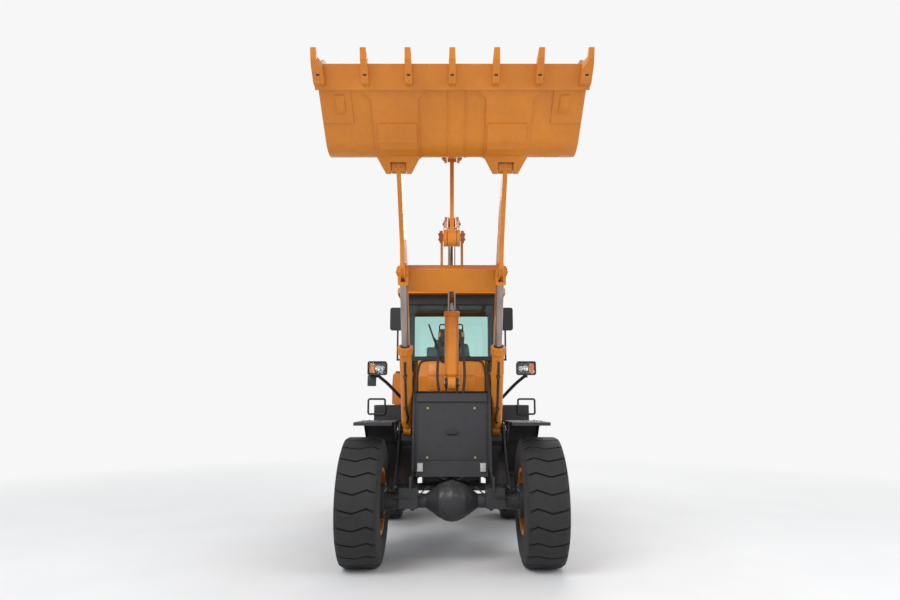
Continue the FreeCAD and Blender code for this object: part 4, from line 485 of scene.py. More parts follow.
class Form:
    """The mesh of one piece, put together from small forms in a frame of its own."""

    def __init__(self, at=None):
        self.mesh = bmesh.new()
        self.at = at or Matrix.Identity(4)

    def take(self, made, place=None):
        bmesh.ops.recalc_face_normals(made, faces=made.faces)
        made.transform(self.at @ (place or Matrix.Identity(4)))
        held = bpy.data.meshes.new("held")
        made.to_mesh(held)
        made.free()
        self.mesh.from_mesh(held)
        bpy.data.meshes.remove(held)

    def block(self, low, high, chamfer=0.003, place=None):
        """A block with rounded edges between two corners."""
        made = bmesh.new()
        low = Vector(low)
        high = Vector(high)
        size = Vector([abs(b - a) for a, b in zip(low, high)])
        bmesh.ops.create_cube(made, size=1)
        bmesh.ops.scale(made, vec=size, verts=made.verts)
        bmesh.ops.translate(made, vec=(low + high) / 2, verts=made.verts)
        width = min(chamfer, min(size) * 0.3)
        bmesh.ops.bevel(made, geom=made.edges[:], offset=width, segments=2, profile=0.5, affect="EDGES")
        self.take(made, place)

    def turned(self, profile, place=None, sides=20):
        """A turned form about Z from points (radius, height)."""
        made = bmesh.new()
        rings = []
        for radius, height in profile:
            rings.append([made.verts.new((x, y, height)) for x, y in circle(radius, sides if radius else 1)])
        for first, second in zip(rings, rings[1:]):
            for i in range(sides):
                j = (i + 1) % sides
                if len(first) == 1:
                    made.faces.new((first[0], second[j], second[i]))
                elif len(second) == 1:
                    made.faces.new((first[i], first[j], second[0]))
                else:
                    made.faces.new((first[i], first[j], second[j], second[i]))
        self.take(made, place)

    def band(self, inner, outer, low, high, place=None, sides=28):
        """A ring with flat ends."""
        self.turned([(inner, low), (outer, low), (outer, high), (inner, high)], place, sides)

    def bolt(self, spot, normal, size=0.012):
        """A hexagon bolt with its washer. The size is half the head's width across its corners."""
        for profile, sides in ((WASHER, 16), (BOLT_HEAD, 6)):
            self.turned([(size * r, size * h) for r, h in profile], toward(spot, normal), sides)

    def ring_of_bolts(self, centre, normal, radius, count, size=0.012, start=0.0):
        place = toward(centre, normal)
        for x, y in circle(radius, count, start):
            self.bolt(place @ Vector((x, y, 0)), normal, size)

    def cap(self, place, radius, wall, rim=None, height=None, sides=24):
        """A round cap. Its wall goes up to one height, and slants from there to the rim of its top."""
        self.turned([(0, 0), (radius, 0), (radius, wall)] + ([(rim, height)] if rim else [])
                    + [(0, height or wall)], place, sides)

    def done(self, name, body, look):
        mesh = bpy.data.meshes.new(name)
        self.mesh.to_mesh(mesh)
        self.mesh.free()
        mesh.shade_smooth()
        mesh.set_sharp_from_angle(angle=math.radians(35))
        return settle(bpy.data.objects.new(name, mesh), body, look)


def tubes(name, runs, radius, at=None, closed=False, fineness=5):
    """A curve of round tubes. Each run is a list of points that pull at its tube."""
    curve = bpy.data.curves.new(name, "CURVE")
    curve.dimensions = "3D"
    curve.bevel_depth = radius
    curve.bevel_resolution = 3
    curve.resolution_u = fineness
    curve.use_fill_caps = True
    for points in runs:
        spline = curve.splines.new("NURBS")
        spline.points.add(len(points) - 1)
        for point, place in zip(spline.points, points):
            point.co = (*((at or Matrix.Identity(4)) @ Vector(place)), 1)
        spline.order_u = 3
        spline.use_cyclic_u = closed
        spline.use_endpoint_u = not closed
    return bpy.data.objects.new(name, curve)


def pipes(name, runs, radius, body, look, at=None, closed=False):
    """Bent pipes, hoses, seals or weld beads that ride together."""
    return settle(tubes(name, runs, radius, at, closed), body, look)


def frame_loop(low, high, depth, r=0.03, plane="front"):
    """The points of a rounded rectangle. The plane is front (x, z) or side (y, z)."""
    (a, b), (c, d) = low, high
    points = ((a, b + r), (a, b), (a + r, b), (c - r, b), (c, b), (c, b + r),
              (c, d - r), (c, d), (c - r, d), (a + r, d), (a, d), (a, d - r))
    return [(u, depth, v) if plane == "front" else (depth, u, v) for u, v in points]


def cushion(name, size, place, channels):
    """A crowned pad with its sides drawn in between the corners, and sewn channels across its face."""
    crown = 0.32
    made = bmesh.new()
    bmesh.ops.create_cube(made, size=2)
    bmesh.ops.subdivide_edges(made, edges=made.edges[:], cuts=13, use_grid_fill=True)
    for vert in made.verts:
        x, y, z = vert.co
        ball = Vector((
            x * math.sqrt(1 - y * y / 2 - z * z / 2 + y * y * z * z / 3),
            y * math.sqrt(1 - z * z / 2 - x * x / 2 + z * z * x * x / 3),
            z * math.sqrt(1 - x * x / 2 - y * y / 2 + x * x * y * y / 3),
        ))
        spot = vert.co.lerp(ball, crown)
        dip = sum(math.exp(-((y - c) / 0.06) ** 2) for c in channels)
        spot.z -= 0.16 * dip * max(0.0, z)
        vert.co = Vector((spot.x * size[0] / 2, spot.y * size[1] / 2, spot.z * size[2] / 2))
    mesh = bpy.data.meshes.new(name)
    made.transform(place)
    made.to_mesh(mesh)
    made.free()
    mesh.shade_smooth()
    obj = settle(bpy.data.objects.new(name, mesh), "chassis", "cloth")
    obj.modifiers.new("smooth", "SUBSURF").render_levels = 1


# Bucket


def bucket_details():
    """Weld beads, wear pads, tooth bolts with painted shade in their recesses, and pin keepers, in the frame
    of the bucket as it lies flat.
    """
    floor = -0.140
    front = -0.839
    heel = [(-0.34 + 0.296 * math.sin(math.radians(a)), 0.15 - 0.296 * math.cos(math.radians(a)))
            for a in (0, 15, 30, 45, 60, 75, 88)]

    def seam(x, below):
        return [(x, y, floor - below) for y in (-0.84, -0.6, -0.36)] + [(x, y, z) for y, z in heel]

    beads = []
    for side in SIDES:
        beads += [seam(side * x, 0.004) for x in (0.305, 0.728)]
        for run in ((0.21, 0.5, 0.83), (0.83, 1.0, 1.17)):
            beads.append([(side * x, front, floor - 0.003) for x in run])
    beads += [seam(x, 0.001) for x in (-0.034, 0.127)]
    pipes("bucket_welds", beads, 0.006, "bucket", "yellow", BUCKET)
    form = Form(BUCKET)
    for side in SIDES:
        form.block((side * 0.966, -0.79, floor - 0.016), (side * 1.047, -0.62, floor - 0.006), 0.006)
        for x in (0.50, 0.55):
            form.cap(toward((side * x, -0.02, -0.092), (0, 0, -1)), 0.011, 0.004, sides=16)
    form.done("bucket_pads", "bucket", "yellow")
    bolts = Form(BUCKET)
    heads = Form(BUCKET)
    # one tooth each
    for x in (-1.163, -0.758, -0.379, 0, 0.379, 0.758, 1.163):
        spot = toward((x, -0.962, -0.1967), (0, 0.04, -1))
        # The charcoal block under each bolt head is painted shade in the bolt's recess.
        bolts.block((-0.016, -0.036, -0.004), (0.016, 0.036, 0.0015), 0.004, spot)
        heads.block((-0.011, 0.002, 0), (0.011, 0.024, 0.006), 0.003, spot)
    bolts.done("tooth_recess_shade", "bucket", "charcoal")
    heads.done("tooth_bolts", "bucket", "yellow")
    keepers = Form(BUCKET)
    for side in SIDES:
        for x, way in ((0.419, -1), (0.631, 1)):
            face = side * (x + way * 0.008)
            keepers.block((side * x, -0.045, -0.012), (face, 0.045, 0.012))
            for y in (-0.032, 0.032):
                keepers.bolt((face, y, 0), (side * way, 0, 0), 0.009)
    keepers.done("bucket_pin_keepers", "bucket", "steel")
    caps = Form()
    for side in SIDES:
        eye = (side * 0.096, *LINK_EYE)
        caps.cap(toward(eye, (side, 0, 0)), 0.036, 0.008, 0.03, 0.012, 24)
        caps.bolt((side * 0.107, *LINK_EYE), (side, 0, 0), 0.012)
    caps.done("link_eye_caps", "bucket", "steel")


# Boom, cylinders and linkage


def bead(x, y, z, radius):
    """A weld round a boss that stands across the loader."""
    return [(x, y + dy, z + dz) for dy, dz in circle(radius, 12)]


def boom_details():
    """Weld beads, keepers and caps at the pins of the loading gear."""
    beads = []
    for side in SIDES:
        for x in (0.5015, 0.5485):
            for y, z, r in ((-1.514, -0.049, 0.1), (0.0, 0.0, 0.123)):
                beads.append(bead(side * x, y, z, r))
        beads.append([(side * 0.501, y, z) for y, z in
                      ((-1.508, 0.018), (-1.508, 0.144), (-1.22, 0.144), (-1.22, 0.018))])
    pipes("boom_welds", beads, 0.006, "boom", "yellow", BOOM, closed=True)
    y, z = BELL_PIN_ON_BOOM
    keepers = Form(BOOM)
    for side in SIDES:
        keepers.block((side * 0.137, y - 0.045, z - 0.013), (side * 0.146, y + 0.045, z + 0.013))
        for dy in (-0.032, 0.032):
            keepers.bolt((side * 0.146, y + dy, z), (side, 0, 0), 0.009)
        keepers.cap(toward((side * 0.548, -1.3, 0.2), (side, 0, 0)), 0.006, 0.012, 0.003, 0.018, 10)
    keepers.done("boom_pin_keepers", "boom", "steel")
    caps = Form()
    for side in SIDES:
        spot = (side * 0.585, *BOOM_PIVOT)
        caps.cap(toward(spot, (side, 0, 0)), 0.062, 0.008, 0.056, 0.012, 28)
        caps.ring_of_bolts((side * 0.597, *BOOM_PIVOT), (side, 0, 0), 0.042, 3, 0.011, 0.5)
        base = (side * 0.633, *LIFT_BASE)
        caps.cap(toward(base, (side, 0, 0)), 0.046, 0.006, sides=24)
        caps.bolt((side * 0.639, *LIFT_BASE), (side, 0, 0), 0.012)
    caps.done("frame_pin_caps", "front", "steel")
    ends = Form(LIFT)
    run = math.hypot(LIFT_PIN[0] - LIFT_BASE[0], LIFT_PIN[1] - LIFT_BASE[1])
    for side in SIDES:
        ends.ring_of_bolts((side * 0.5935, 0, run), (side, 0, 0), 0.028, 2, 0.009)
    ends.done("lift_pin_bolts", "lift_rods", "steel")
    bell = Form()
    for side in SIDES:
        bell.bolt((side * 0.098, *TILT_EYE), (side, 0, 0), 0.014)
    bell.done("bellcrank_bolts", "bellcrank", "steel")
    rings = [bead(side * 0.0845, *BELL_PIN, 0.111) for side in SIDES]
    pipes("bellcrank_welds", rings, 0.005, "bellcrank", "yellow", closed=True)


FITTING = ((0, 0), (0.019, 0), (0.019, 0.018), (0.014, 0.022), (0.014, 0.034), (0, 0.034))


def lift_details():
    """Gland nuts, wipers, fittings, clamps and the pipe along each lift cylinder."""
    nuts = Form(LIFT)
    metal_parts = Form(LIFT)
    black = Form(LIFT)
    forward = LIFT.to_3x3() @ Vector((0, -1, 0))
    for side in SIDES:
        x = side * LIFT_X
        nuts.turned([(0.0795, 0.99), (0.084, 0.995), (0.084, 1.032), (0.0795, 1.036)],
                    shift(x), 32)
        for k in range(10):
            turn = shift(x) @ spin(36 * k, "Z")
            nuts.block((0.07, -0.013, 1.03), (0.086, 0.013, 1.078), 0.003, turn)
        black.turned([(0.0405, 1.079), (0.056, 1.079), (0.054, 1.09), (0.0405, 1.092)],
                     shift(x), 28)
        for z in (0.93, 0.155):
            place = LIFT.inverted() @ toward(LIFT @ Vector((x, -0.066, z)), forward)
            metal_parts.turned(FITTING, place, 6)
        for z in (0.33, 0.74):
            nuts.band(0.0685, 0.0715, z, z + 0.028, shift(x))
            black.block((x - 0.021, -0.120, z + 0.002), (x + 0.021, -0.07, z + 0.026), 0.005)
            metal_parts.turned([(0, 0), (0.007, 0), (0.007, 0.006), (0, 0.006)],
                               shift(x, -0.118, z + 0.014) @ spin(90), 6)
    nuts.done("lift_gland_nuts", "lift_barrels", "yellow")
    metal_parts.done("lift_fittings", "lift_barrels", "brass")
    black.done("lift_clamps_and_wipers", "lift_barrels", "seal")
    x = LIFT_X
    runs = mirrored((x, -0.098, 0.93), (x, -0.106, 0.90), (x, -0.102, 0.8), (x, -0.102, 0.45),
                    (x, -0.102, 0.34), (x - 0.012, -0.102, 0.25), (x - 0.018, -0.098, 0.2), (x, -0.1, 0.155))
    pipes("lift_pipes", runs, 0.0145, "lift_barrels", "hose", LIFT)


def tilt_details():
    """The gland's bolts and wiper, and the fittings, pipes and hoses at the tilt cylinder."""
    gland = Form(TILT)
    gland.ring_of_bolts((0, 0, 0.832), (0, 0, 1), 0.072, 8, 0.010, 0.2)
    gland.done("tilt_gland_bolts", "tilt_barrel", "steel")
    black = Form(TILT)
    black.turned([(0.0455, 0.833), (0.059, 0.833), (0.057, 0.842), (0.0455, 0.844)], None, 28)
    black.done("tilt_wiper", "tilt_barrel", "seal")
    brass = Form(TILT)
    runs = []
    steel = []
    top = 0.57
    for x in (-0.142, 0.128):
        brass.turned([(0, top - 0.05), (0.013, top - 0.05), (0.013, top - 0.01), (0.018, top - 0.01),
                      (0.018, top + 0.012), (0.011, top + 0.016), (0, top + 0.016)],
                     shift(x, -0.035, 0), 6)
        runs.append([(x, -0.035, top - 0.04), (x, -0.036, top - 0.16), (x * 1.1, -0.036, 0.3),
                     (x * 1.18, -0.034, 0.12), (x * 1.14, -0.025, 0.0), (x, 0.0, -0.12),
                     (x * 0.95, 0.03, -0.2)])
        steel.append([(x * 0.5, 0.035, top + 0.11), (x * 0.8, 0.0, top + 0.115), (x, -0.035, top + 0.10),
                      (x, -0.035, top + 0.05), (x, -0.035, top + 0.01)])
    brass.done("tilt_fittings", "tilt_barrel", "brass")
    pipes("tilt_hoses", runs, 0.0155, "tilt_barrel", "hose", TILT)
    pipes("tilt_pipes", steel, 0.008, "tilt_barrel", "charcoal", TILT)


def hinge_hoses():
    """Hoses between the two frames, as fixed meshes tied to neither frame."""
    for k, (x, z) in enumerate(((-0.16, 1.285), (-0.11, 1.30), (0.11, 1.30), (0.16, 1.285), (-0.13, 1.34))):
        run = [(x, -0.5, z - 0.02), (x, -0.35, z), (x * 1.05, -0.15, z + 0.05), (x * 1.1, 0.07, z + 0.085),
               (x * 1.05, 0.3, z + 0.05), (x, 0.45, z + 0.01), (x, 0.6, z - 0.01)]
        line = tubes("hose_line", [run], 0.012, fineness=8)
        mesh = bpy.data.meshes.new_from_object(line)
        bpy.data.objects.remove(line)
        mesh.shade_smooth()
        hose = bpy.data.objects.new("hinge_hose_" + str(k + 1), mesh)
        bpy.context.scene.collection.objects.link(hose)
        dress(hose, "hose")
        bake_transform(hose)


# Front frame, cover, lamps and fenders


def cover_point(x, z, out=0.0):
    """A point on the slanting front cover, or a little out from it."""
    y = -1.070 + 0.115 * (z - 1.045) / 0.745
    return Vector((x, y, z)) + COVER_NORMAL * out


def pad_bolts(form, side, places):
    """The bolts that hold an axle's pads to the frame, seen from below."""
    for y in places:
        for x in (0.41, 0.505):
            form.bolt((side * x, y, 0.598), (0, 0, -1), 0.02)


def front_details():
    zinc = Form()
    bolts = Form()
    for x, z in ((-0.275, 1.625), (0.262, 1.625), (-0.275, 1.082), (0.262, 1.082)):
        zinc.bolt(cover_point(x, z), COVER_NORMAL, 0.0105)
    for side in SIDES:
        pad_bolts(bolts, side, (-1.45, -1.2))
        for y in (-1.60, -1.30, -1.05):
            for x in (0.78, 0.93):
                bolts.bolt((side * x, y, FENDER_TOP), (0, 0, 1), 0.008)
    bolts.done("front_bolts", "front", "charcoal")
    zinc.done("cover_bolts", "front", "zinc")
    plates = Form()
    tilt = toward((0, -1.105, 0.98), (0, -0.962, 0.274))
    for x in (-0.353, 0.347):
        plates.block((x - 0.031, -0.047, 0.0), (x + 0.031, 0.047, 0.003), 0.002, tilt)
    plates.done("blank_plates", "front", "plate")
    # Charcoal lines along the cover's folds are painted shade in the bends.
    dark_lines = [[cover_point(x, z, 0.001) for z in (1.07, 1.4, 1.76)] for x in (-0.385, 0.385)]
    dark_lines.append([cover_point(x, 1.055) for x in (-0.395, 0.0, 0.395)])
    pipes("cover_fold_shade", dark_lines, 0.004, "front", "charcoal")
    y = FRONT_AXLE_Y
    lines = mirrored((0.25, y - 0.03, 0.80), (0.3, y - 0.05, 0.77), (0.36, y - 0.16, 0.72),
                     (0.6, y - 0.16, 0.70), (0.70, y - 0.13, 0.76))
    pipes("front_brake_lines", lines, 0.007, "front", "hose")


def lamp_details():
    """Headlamps with a bowl and a bulb behind a clear cover, an amber corner, and a wire guard."""
    guards = []
    bowls = Form()
    bulbs = Form()
    amber = Form()
    cover = Form()
    shell = Form()
    face = HEADLAMP_Y
    for side in SIDES:
        shell.block((side * 0.765, face - 0.004, 2.016), (side * 0.872, face + 0.002, 2.135), 0.004)
        for x, r in ((side * 0.842, 0.030), (side * 0.790, 0.024)):
            spot = toward((x, face - 0.004, 2.076), (0, -1, 0))
            bowls.turned(((0, 0.001), (r * 0.5, 0.002), (r * 0.8, 0.006), (r, 0.013), (r * 1.1, 0.013),
                          (r * 1.1, 0)), spot, 28)
            bulbs.turned([(0.008, 0), (0.009, 0.006), (0.006, 0.011), (0, 0.013)], spot, 16)
        amber.block((side * 0.880, face - 0.014, 2.022), (side * 0.938, face + 0.002, 2.129), 0.012)
        cover.block((side * 0.760, face - 0.024, 2.012), (side * 0.942, face - 0.020, 2.139), 0.0018)
        for depth in (0.031, 0.008):
            low, high = sorted((side * 0.748, side * 0.953))
            guards.append(frame_loop((low, 2.004), (high, 2.148), face - depth, 0.035))
        shell.cap(shift(side * 0.85, face + 0.06, 1.972), 0.022, 0.03, sides=16)
        shell.cap(toward((side * 0.85, face + 0.10, 2.08), (0, 1, 0)), 0.016, 0.05, 0.011, 0.06, 14)
    shell.block((-0.965, face + 0.03, 1.875), (-0.87, face + 0.09, 2.0), 0.008)
    bowls.done("headlamp_bowls", "front", "bowl")
    bulbs.done("headlamp_bulbs", "front", "clear")
    amber.done("indicator_lenses", "front", "amber")
    cover.done("headlamp_covers", "front", "cover")
    shell.done("headlamp_feet", "front", "lamp")
    pipes("headlamp_guards", guards, 0.007, "front", "lamp", closed=True)
    carriers = mirrored((0.45, -0.605, 1.700), (0.54, -0.605, 1.705), (0.61, -0.63, 1.745),
                        (0.68, -0.73, 1.83), (0.76, -0.88, 1.92), (0.83, -1.0, 1.98), (0.85, -1.03, 2.0))
    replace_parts(pipes("lamp_tubes", carriers, 0.019, "front", "charcoal"), "lamp_brackets")
    cables = mirrored((0.85, face + 0.16, 2.08), (0.85, face + 0.19, 2.05), (0.83, face + 0.13, 1.97),
                      (0.76, -0.86, 1.90), (0.68, -0.71, 1.81), (0.61, -0.61, 1.725), (0.54, -0.585, 1.69),
                      (0.46, -0.585, 1.685))
    pipes("headlamp_leads", cables, 0.006, "front", "hose")


def wheel_details():
    for name, side, y in (
        ("front_left", 1, FRONT_AXLE_Y),
        ("front_right", -1, FRONT_AXLE_Y),
        ("rear_left", 1, REAR_AXLE_Y),
        ("rear_right", -1, REAR_AXLE_Y),
    ):
        middle = side * TRACK / 2
        form = Form()
        form.ring_of_bolts((middle + side * 0.020, y, AXLE_Z), (side, 0, 0), 0.196, 16, 0.017)
        form.ring_of_bolts((middle + side * 0.135, y, AXLE_Z), (side, 0, 0), 0.092, 8, 0.009, 0.2)
        form.done("wheel_nuts_" + name, "wheel_" + name, "steel")
        plug = Form()
        plug.turned(((0, 0), (0.05, 0), (0.05, 0.006), (0.042, 0.012), (0.024, 0.012), (0.024, 0.02),
                     (0, 0.02)), toward((middle + side * 0.135, y, AXLE_Z), (side, 0, 0)), 28)
        valve = toward((middle + side * 0.13, y, AXLE_Z + 0.285), (side * 0.8, 0, -0.6))
        plug.cap(valve, 0.008, 0.05, 0.005, 0.055, 10)
        plug.done("hub_plug_" + name, "wheel_" + name, "charcoal")


def axle_details():
    for name, y, nose, body in (("front", FRONT_AXLE_Y, -1, "front"), ("rear", REAR_AXLE_Y, 1, "chassis")):
        form = Form()
        for x, z in circle(1, 14):
            form.bolt((0.178 * x, y + nose * 0.088, AXLE_Z + 0.178 * z),
                      (0.55 * x, nose * 0.85, 0.55 * z), 0.011)
        form.cap(toward((0, y + nose * 0.203, AXLE_Z), (0, nose, 0)), 0.024, 0.012, sides=6)
        for side in SIDES:
            for dy, dz in circle(0.150, 12):
                form.bolt((side * 0.71, y + dy, AXLE_Z + dz), (-side, 0, 0), 0.011)
        form.done(name + "_axle_bolts", body, "charcoal")


# Cab


LEVER = ((0, 0), (0.006, 0), (0.006, 0.09), (0.018, 0.10), (0.022, 0.125), (0.014, 0.145), (0, 0.148))


def cab_details():
    """Seals, trim, the wiper, mirror faces, the cowl's panel, the dashboard and the controls."""
    seals = [
        frame_loop((-0.577, 2.293), (0.577, 3.007), 0.148, 0.05),
        frame_loop((-0.577, 2.343), (0.577, 3.027), 1.428, 0.05),
    ]
    for side in SIDES:
        seals.append(frame_loop((0.989, 2.134), (1.371, 3.051), side * 0.6265, 0.04, "side"))
        low, high = sorted((side * 0.451, side * 0.577))
        seals.append(frame_loop((low, 1.664), (high, 2.244), 0.148, 0.02))
    seals.append(frame_loop((0.229, 2.134), (0.906, 3.051), -0.6265, 0.04, "side"))
    pipes("window_seals", seals, 0.009, "chassis", "seal", closed=True)
    doors = [
        frame_loop((0.303, 2.150), (0.832, 2.987), 0.639, 0.05, "side"),
        frame_loop((0.303, 1.760), (0.832, 2.066), 0.639, 0.05, "side"),
    ]
    pipes("door_window_seals", doors, 0.008, "cab_door", "seal", closed=True)
    trim = ((0.452, 0.086, 1.64), (0.452, 0.086, 1.84), (0.452, 0.066, 2.02), (0.44, 0.085, 2.16),
            (0.41, 0.108, 2.235), (0.3, 0.112, 2.25))
    trim = [(-x, y, z) for x, y, z in trim] + [(0, 0.112, 2.252)] + list(trim[::-1])
    pipes("cowl_trim", [trim], 0.011, "chassis", "seal")
    wiper = [[(-0.113, 0.10, 2.235), (-0.113, 0.085, 2.26), (-0.15, 0.098, 2.34), (-0.225, 0.118, 2.55)]]
    pipes("wiper_arm", wiper, 0.007, "chassis", "black")
    blade = Form()
    turn = toward((-0.225, 0.128, 2.5), (-0.33, 0, 0.944))
    blade.block((-0.006, -0.012, -0.25), (0.006, 0.012, 0.25), 0.002, turn)
    blade.cap(toward((-0.113, 0.112, 2.236), (0, -0.8, 0.6)), 0.03, 0.02, 0.02, 0.034, 18)
    # A black band stands across the inside of the windshield's top, just behind the glass.
    blade.block((-0.56, 0.172, 2.892), (0.56, 0.186, 3.015), 0.006)
    blade.done("wiper_blade_and_header_band", "chassis", "black")
    faces = Form()
    for side in SIDES:
        faces.block((side * 0.675, 0.0845, 2.656), (side * 0.805, 0.087, 2.929), 0.002)
    faces.done("mirror_faces", "chassis", "mirror")
    panel = Form()
    for foot, top in (
        # (y, z) at a face's foot, and at its top
        ((0.088, 1.70), (0.088, 1.84)),
        ((0.087, 1.85), (0.069, 2.02)),
        ((0.070, 2.04), (0.108, 2.21)),
    ):
        panel.block((-0.31, -0.008, 0), (0.31, 0.004, math.dist(foot, top)), 0.006, along(foot, top))
    panel.done("cowl_panel", "chassis", "yellow")
    dash = Form()
    dash.block((-0.34, 0.29, 2.20), (0.24, 0.37, 2.44), 0.03)
    dash.block((-0.12, 0.372, 2.28), (0.12, 0.378, 2.40), 0.01)
    dash.done("dashboard", "chassis", "grey")
    inside = Form()
    inside.block((-0.60, 0.19, 1.5602), (0.60, 1.40, 1.572), 0.004)
    for x in (-0.12, 0.13):
        inside.block((x - 0.04, 0.24, 1.66), (x + 0.04, 0.255, 1.78), 0.004,
                     shift(0, -0.42, 0.34) @ spin(-30))
    inside.block((-0.38, 0.62, 1.572), (-0.28, 1.12, 2.02), 0.02)
    inside.block((-0.39, 0.60, 2.02), (-0.27, 1.10, 2.075), 0.02)
    inside.block((0.28, 0.72, 2.04), (0.35, 1.06, 2.085), 0.02)
    for y in (0.66, 0.72):
        inside.turned(LEVER,
                      shift(-0.33, y, 2.072), 16)
    inside.block((-0.10, 0.36, 2.14), (0.10, 0.42, 2.24), 0.015)
    inside.done("cab_controls", "chassis", "black")
    handle = [(x, 0.24, z) for x, z in ((0.66, 2.0), (0.70, 2.02), (0.70, 2.25), (0.70, 2.48), (0.66, 2.5))]
    pipes("door_grab", [handle], 0.010, "cab_door", "black")
    bolts = Form()
    for z in (1.895, 2.72):
        for dz in (0.015, 0.045):
            bolts.bolt((0.675, 0.915, z + dz), (1, 0, 0), 0.007)
    bolts.done("door_hinge_bolts", "chassis", "steel")
    gutter = [[(-0.70, 0.035, 3.142), (0.70, 0.035, 3.142), (0.72, 0.06, 3.142), (0.72, 1.45, 3.142),
               (0.70, 1.49, 3.142), (-0.70, 1.49, 3.142), (-0.72, 1.45, 3.142), (-0.72, 0.06, 3.142)]]
    pipes("roof_seal", gutter, 0.008, "chassis", "seal", closed=True)


def seat_details():
    base = Form()
    for k in range(6):
        z = 1.60 + k * 0.042
        out = 0.175 if k % 2 else 0.15
        base.block((-out, 0.86 - out, z), (out, 0.86 + out, z + 0.036), 0.012)
    base.block((-0.2, 0.62, 1.572), (0.2, 1.08, 1.60), 0.008)
    base.block((-0.22, 0.62, 1.852), (0.22, 1.09, 1.90), 0.012)
    for side in SIDES:
        base.block((side * 0.225, 0.70, 1.86), (side * 0.245, 1.04, 1.93), 0.006)
    pedestal = base.done("seat_base", "chassis", "black")
    lean = shift(0, 1.115, 2.29) @ spin(-9.8)
    lie = spin(90)
    cushion("seat_cushion", (0.49, 0.52, 0.15), shift(0, 0.85, 1.965), (-0.35, 0.25))
    cushion("seat_back", (0.56, 0.60, 0.13), lean @ lie, (-0.45, 0.0, 0.45))
    cushion("seat_headrest", (0.40, 0.25, 0.10),
            shift(0, 1.165, 2.675) @ spin(-8) @ lie, ())
    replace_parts(pedestal, "seat")


# Platforms, hood and rear


def deck_details():
    """Treads, handrails, and the cap and straps of the tank."""
    studs = Form()
    for side in SIDES:
        for i in range(9):
            for j in range(17):
                x = side * (0.70 + i * 0.04 + (0.02 if j % 2 else 0))
                y = 0.28 + j * 0.042
                turn = shift(x, y, 1.655) @ spin(45 if j % 2 else -45, "Z")
                if abs(x) < 1.03:
                    studs.block((-0.012, -0.004, -0.002), (0.012, 0.004, 0.003), 0.0015, turn)
        for z in (0.55, 0.85, 1.15):
            for k in range(9):
                y = 0.30 + k * 0.045
                studs.block((side * 0.86, y, z - 0.001), (side * 1.02, y + 0.014, z + 0.005), 0.002)
    studs.done("step_treads", "chassis", "charcoal")
    loops = []
    for side in SIDES:
        low, high = sorted((side * 0.893, side * 1.117))
        loops.append(frame_loop((low, 1.538), (high, 1.737), 0.2417, 0.05))
    rails = pipes("handrail_tubes", loops, 0.013, "chassis", "charcoal", closed=True)
    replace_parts(rails, "handrails")
    tank = Form()
    tank.cap(shift(-0.75, 0.55, 2.095), 0.035, 0.02, 0.03, 0.028, 24)
    tank.done("tank_cap", "chassis", "black")
    strap = ((-0.815, 1.67), (-0.816, 1.9), (-0.814, 2.06), (-0.78, 2.1), (-0.72, 2.1), (-0.686, 2.06),
             (-0.684, 1.9), (-0.685, 1.67))
    pipes("tank_straps", [[(x, y, z) for x, z in strap] for y in (0.50, 0.82)], 0.006, "chassis", "charcoal")


def hood_details():
    """Latches, seams, the vent, and what stands on the hood or behind its grille."""
    for name, side in (("left", 1), ("right", -1)):
        body = "hood_door_" + name
        form = Form()
        for y in (1.85, 2.62):
            form.cap(toward((side * 0.5, y, 1.60), (side, 0, 0)), 0.038, 0.006, 0.03, 0.010, 24)
            form.block((side * 0.508, y - 0.006, 1.575), (side * 0.516, y + 0.006, 1.625), 0.002)
        form.done("hood_latches_" + name, body, "black")
        pipes("hood_door_hem_" + name, [frame_loop((1.73, 1.575), (2.80, 1.85), side * 0.4995, 0.06, "side")],
              0.006, body, "yellow", closed=True)
    top = Form()
    top.block((-0.33, 1.95, 2.128), (0.33, 2.35, 2.136), 0.004)
    for k in range(9):
        x = -0.28 + k * 0.07
        top.block((x - 0.02, 1.98, 2.134), (x + 0.02, 2.32, 2.142), 0.004)
    top.done("hood_vent", "chassis", "yellow")
    dark_lines = [[(-0.495, y, 2.1295), (0.0, y, 2.1305), (0.495, y, 2.1295)] for y in (1.58, 1.90, 2.40)]
    pipes("hood_seams", dark_lines, 0.003, "chassis", "seal")
    lifts = mirrored((0.42, 1.60, 2.125), (0.42, 1.60, 2.17), (0.42, 1.64, 2.185), (0.42, 1.68, 2.17),
                     (0.42, 1.68, 2.125))
    pipes("hood_lift_eyes", lifts, 0.008, "chassis", "charcoal")
    stack = Form(shift(*EXHAUST))
    for z in (2.15, 2.42):
        stack.band(0.0625, 0.066, z, z + 0.02)
    for k in range(10):
        stack.block((0.061, -0.006, 2.2), (0.0645, 0.006, 2.40), 0.001, spin(36 * k, "Z"))
    stack.band(0.0385, 0.043, 2.66, 2.69, sides=24)
    stack.done("exhaust_guard", "chassis", "exhaust")
    bowl = Form(shift(*INTAKE))
    for k in range(16):
        bowl.block((0.100, -0.004, 2.33), (0.109, 0.004, 2.42), 0.0015, spin(22.5 * k, "Z"))
    bowl.turned([(0, 2.43), (0.03, 2.43), (0.03, 2.445), (0.012, 2.45), (0.012, 2.462), (0, 2.462)])
    bowl.done("intake_ribs", "chassis", "black")
    radiator = Form()
    radiator.block((-0.37, 2.9005, 1.40), (0.37, 2.912, 1.90), 0.002)
    radiator.done("radiator_core", "chassis", "core")


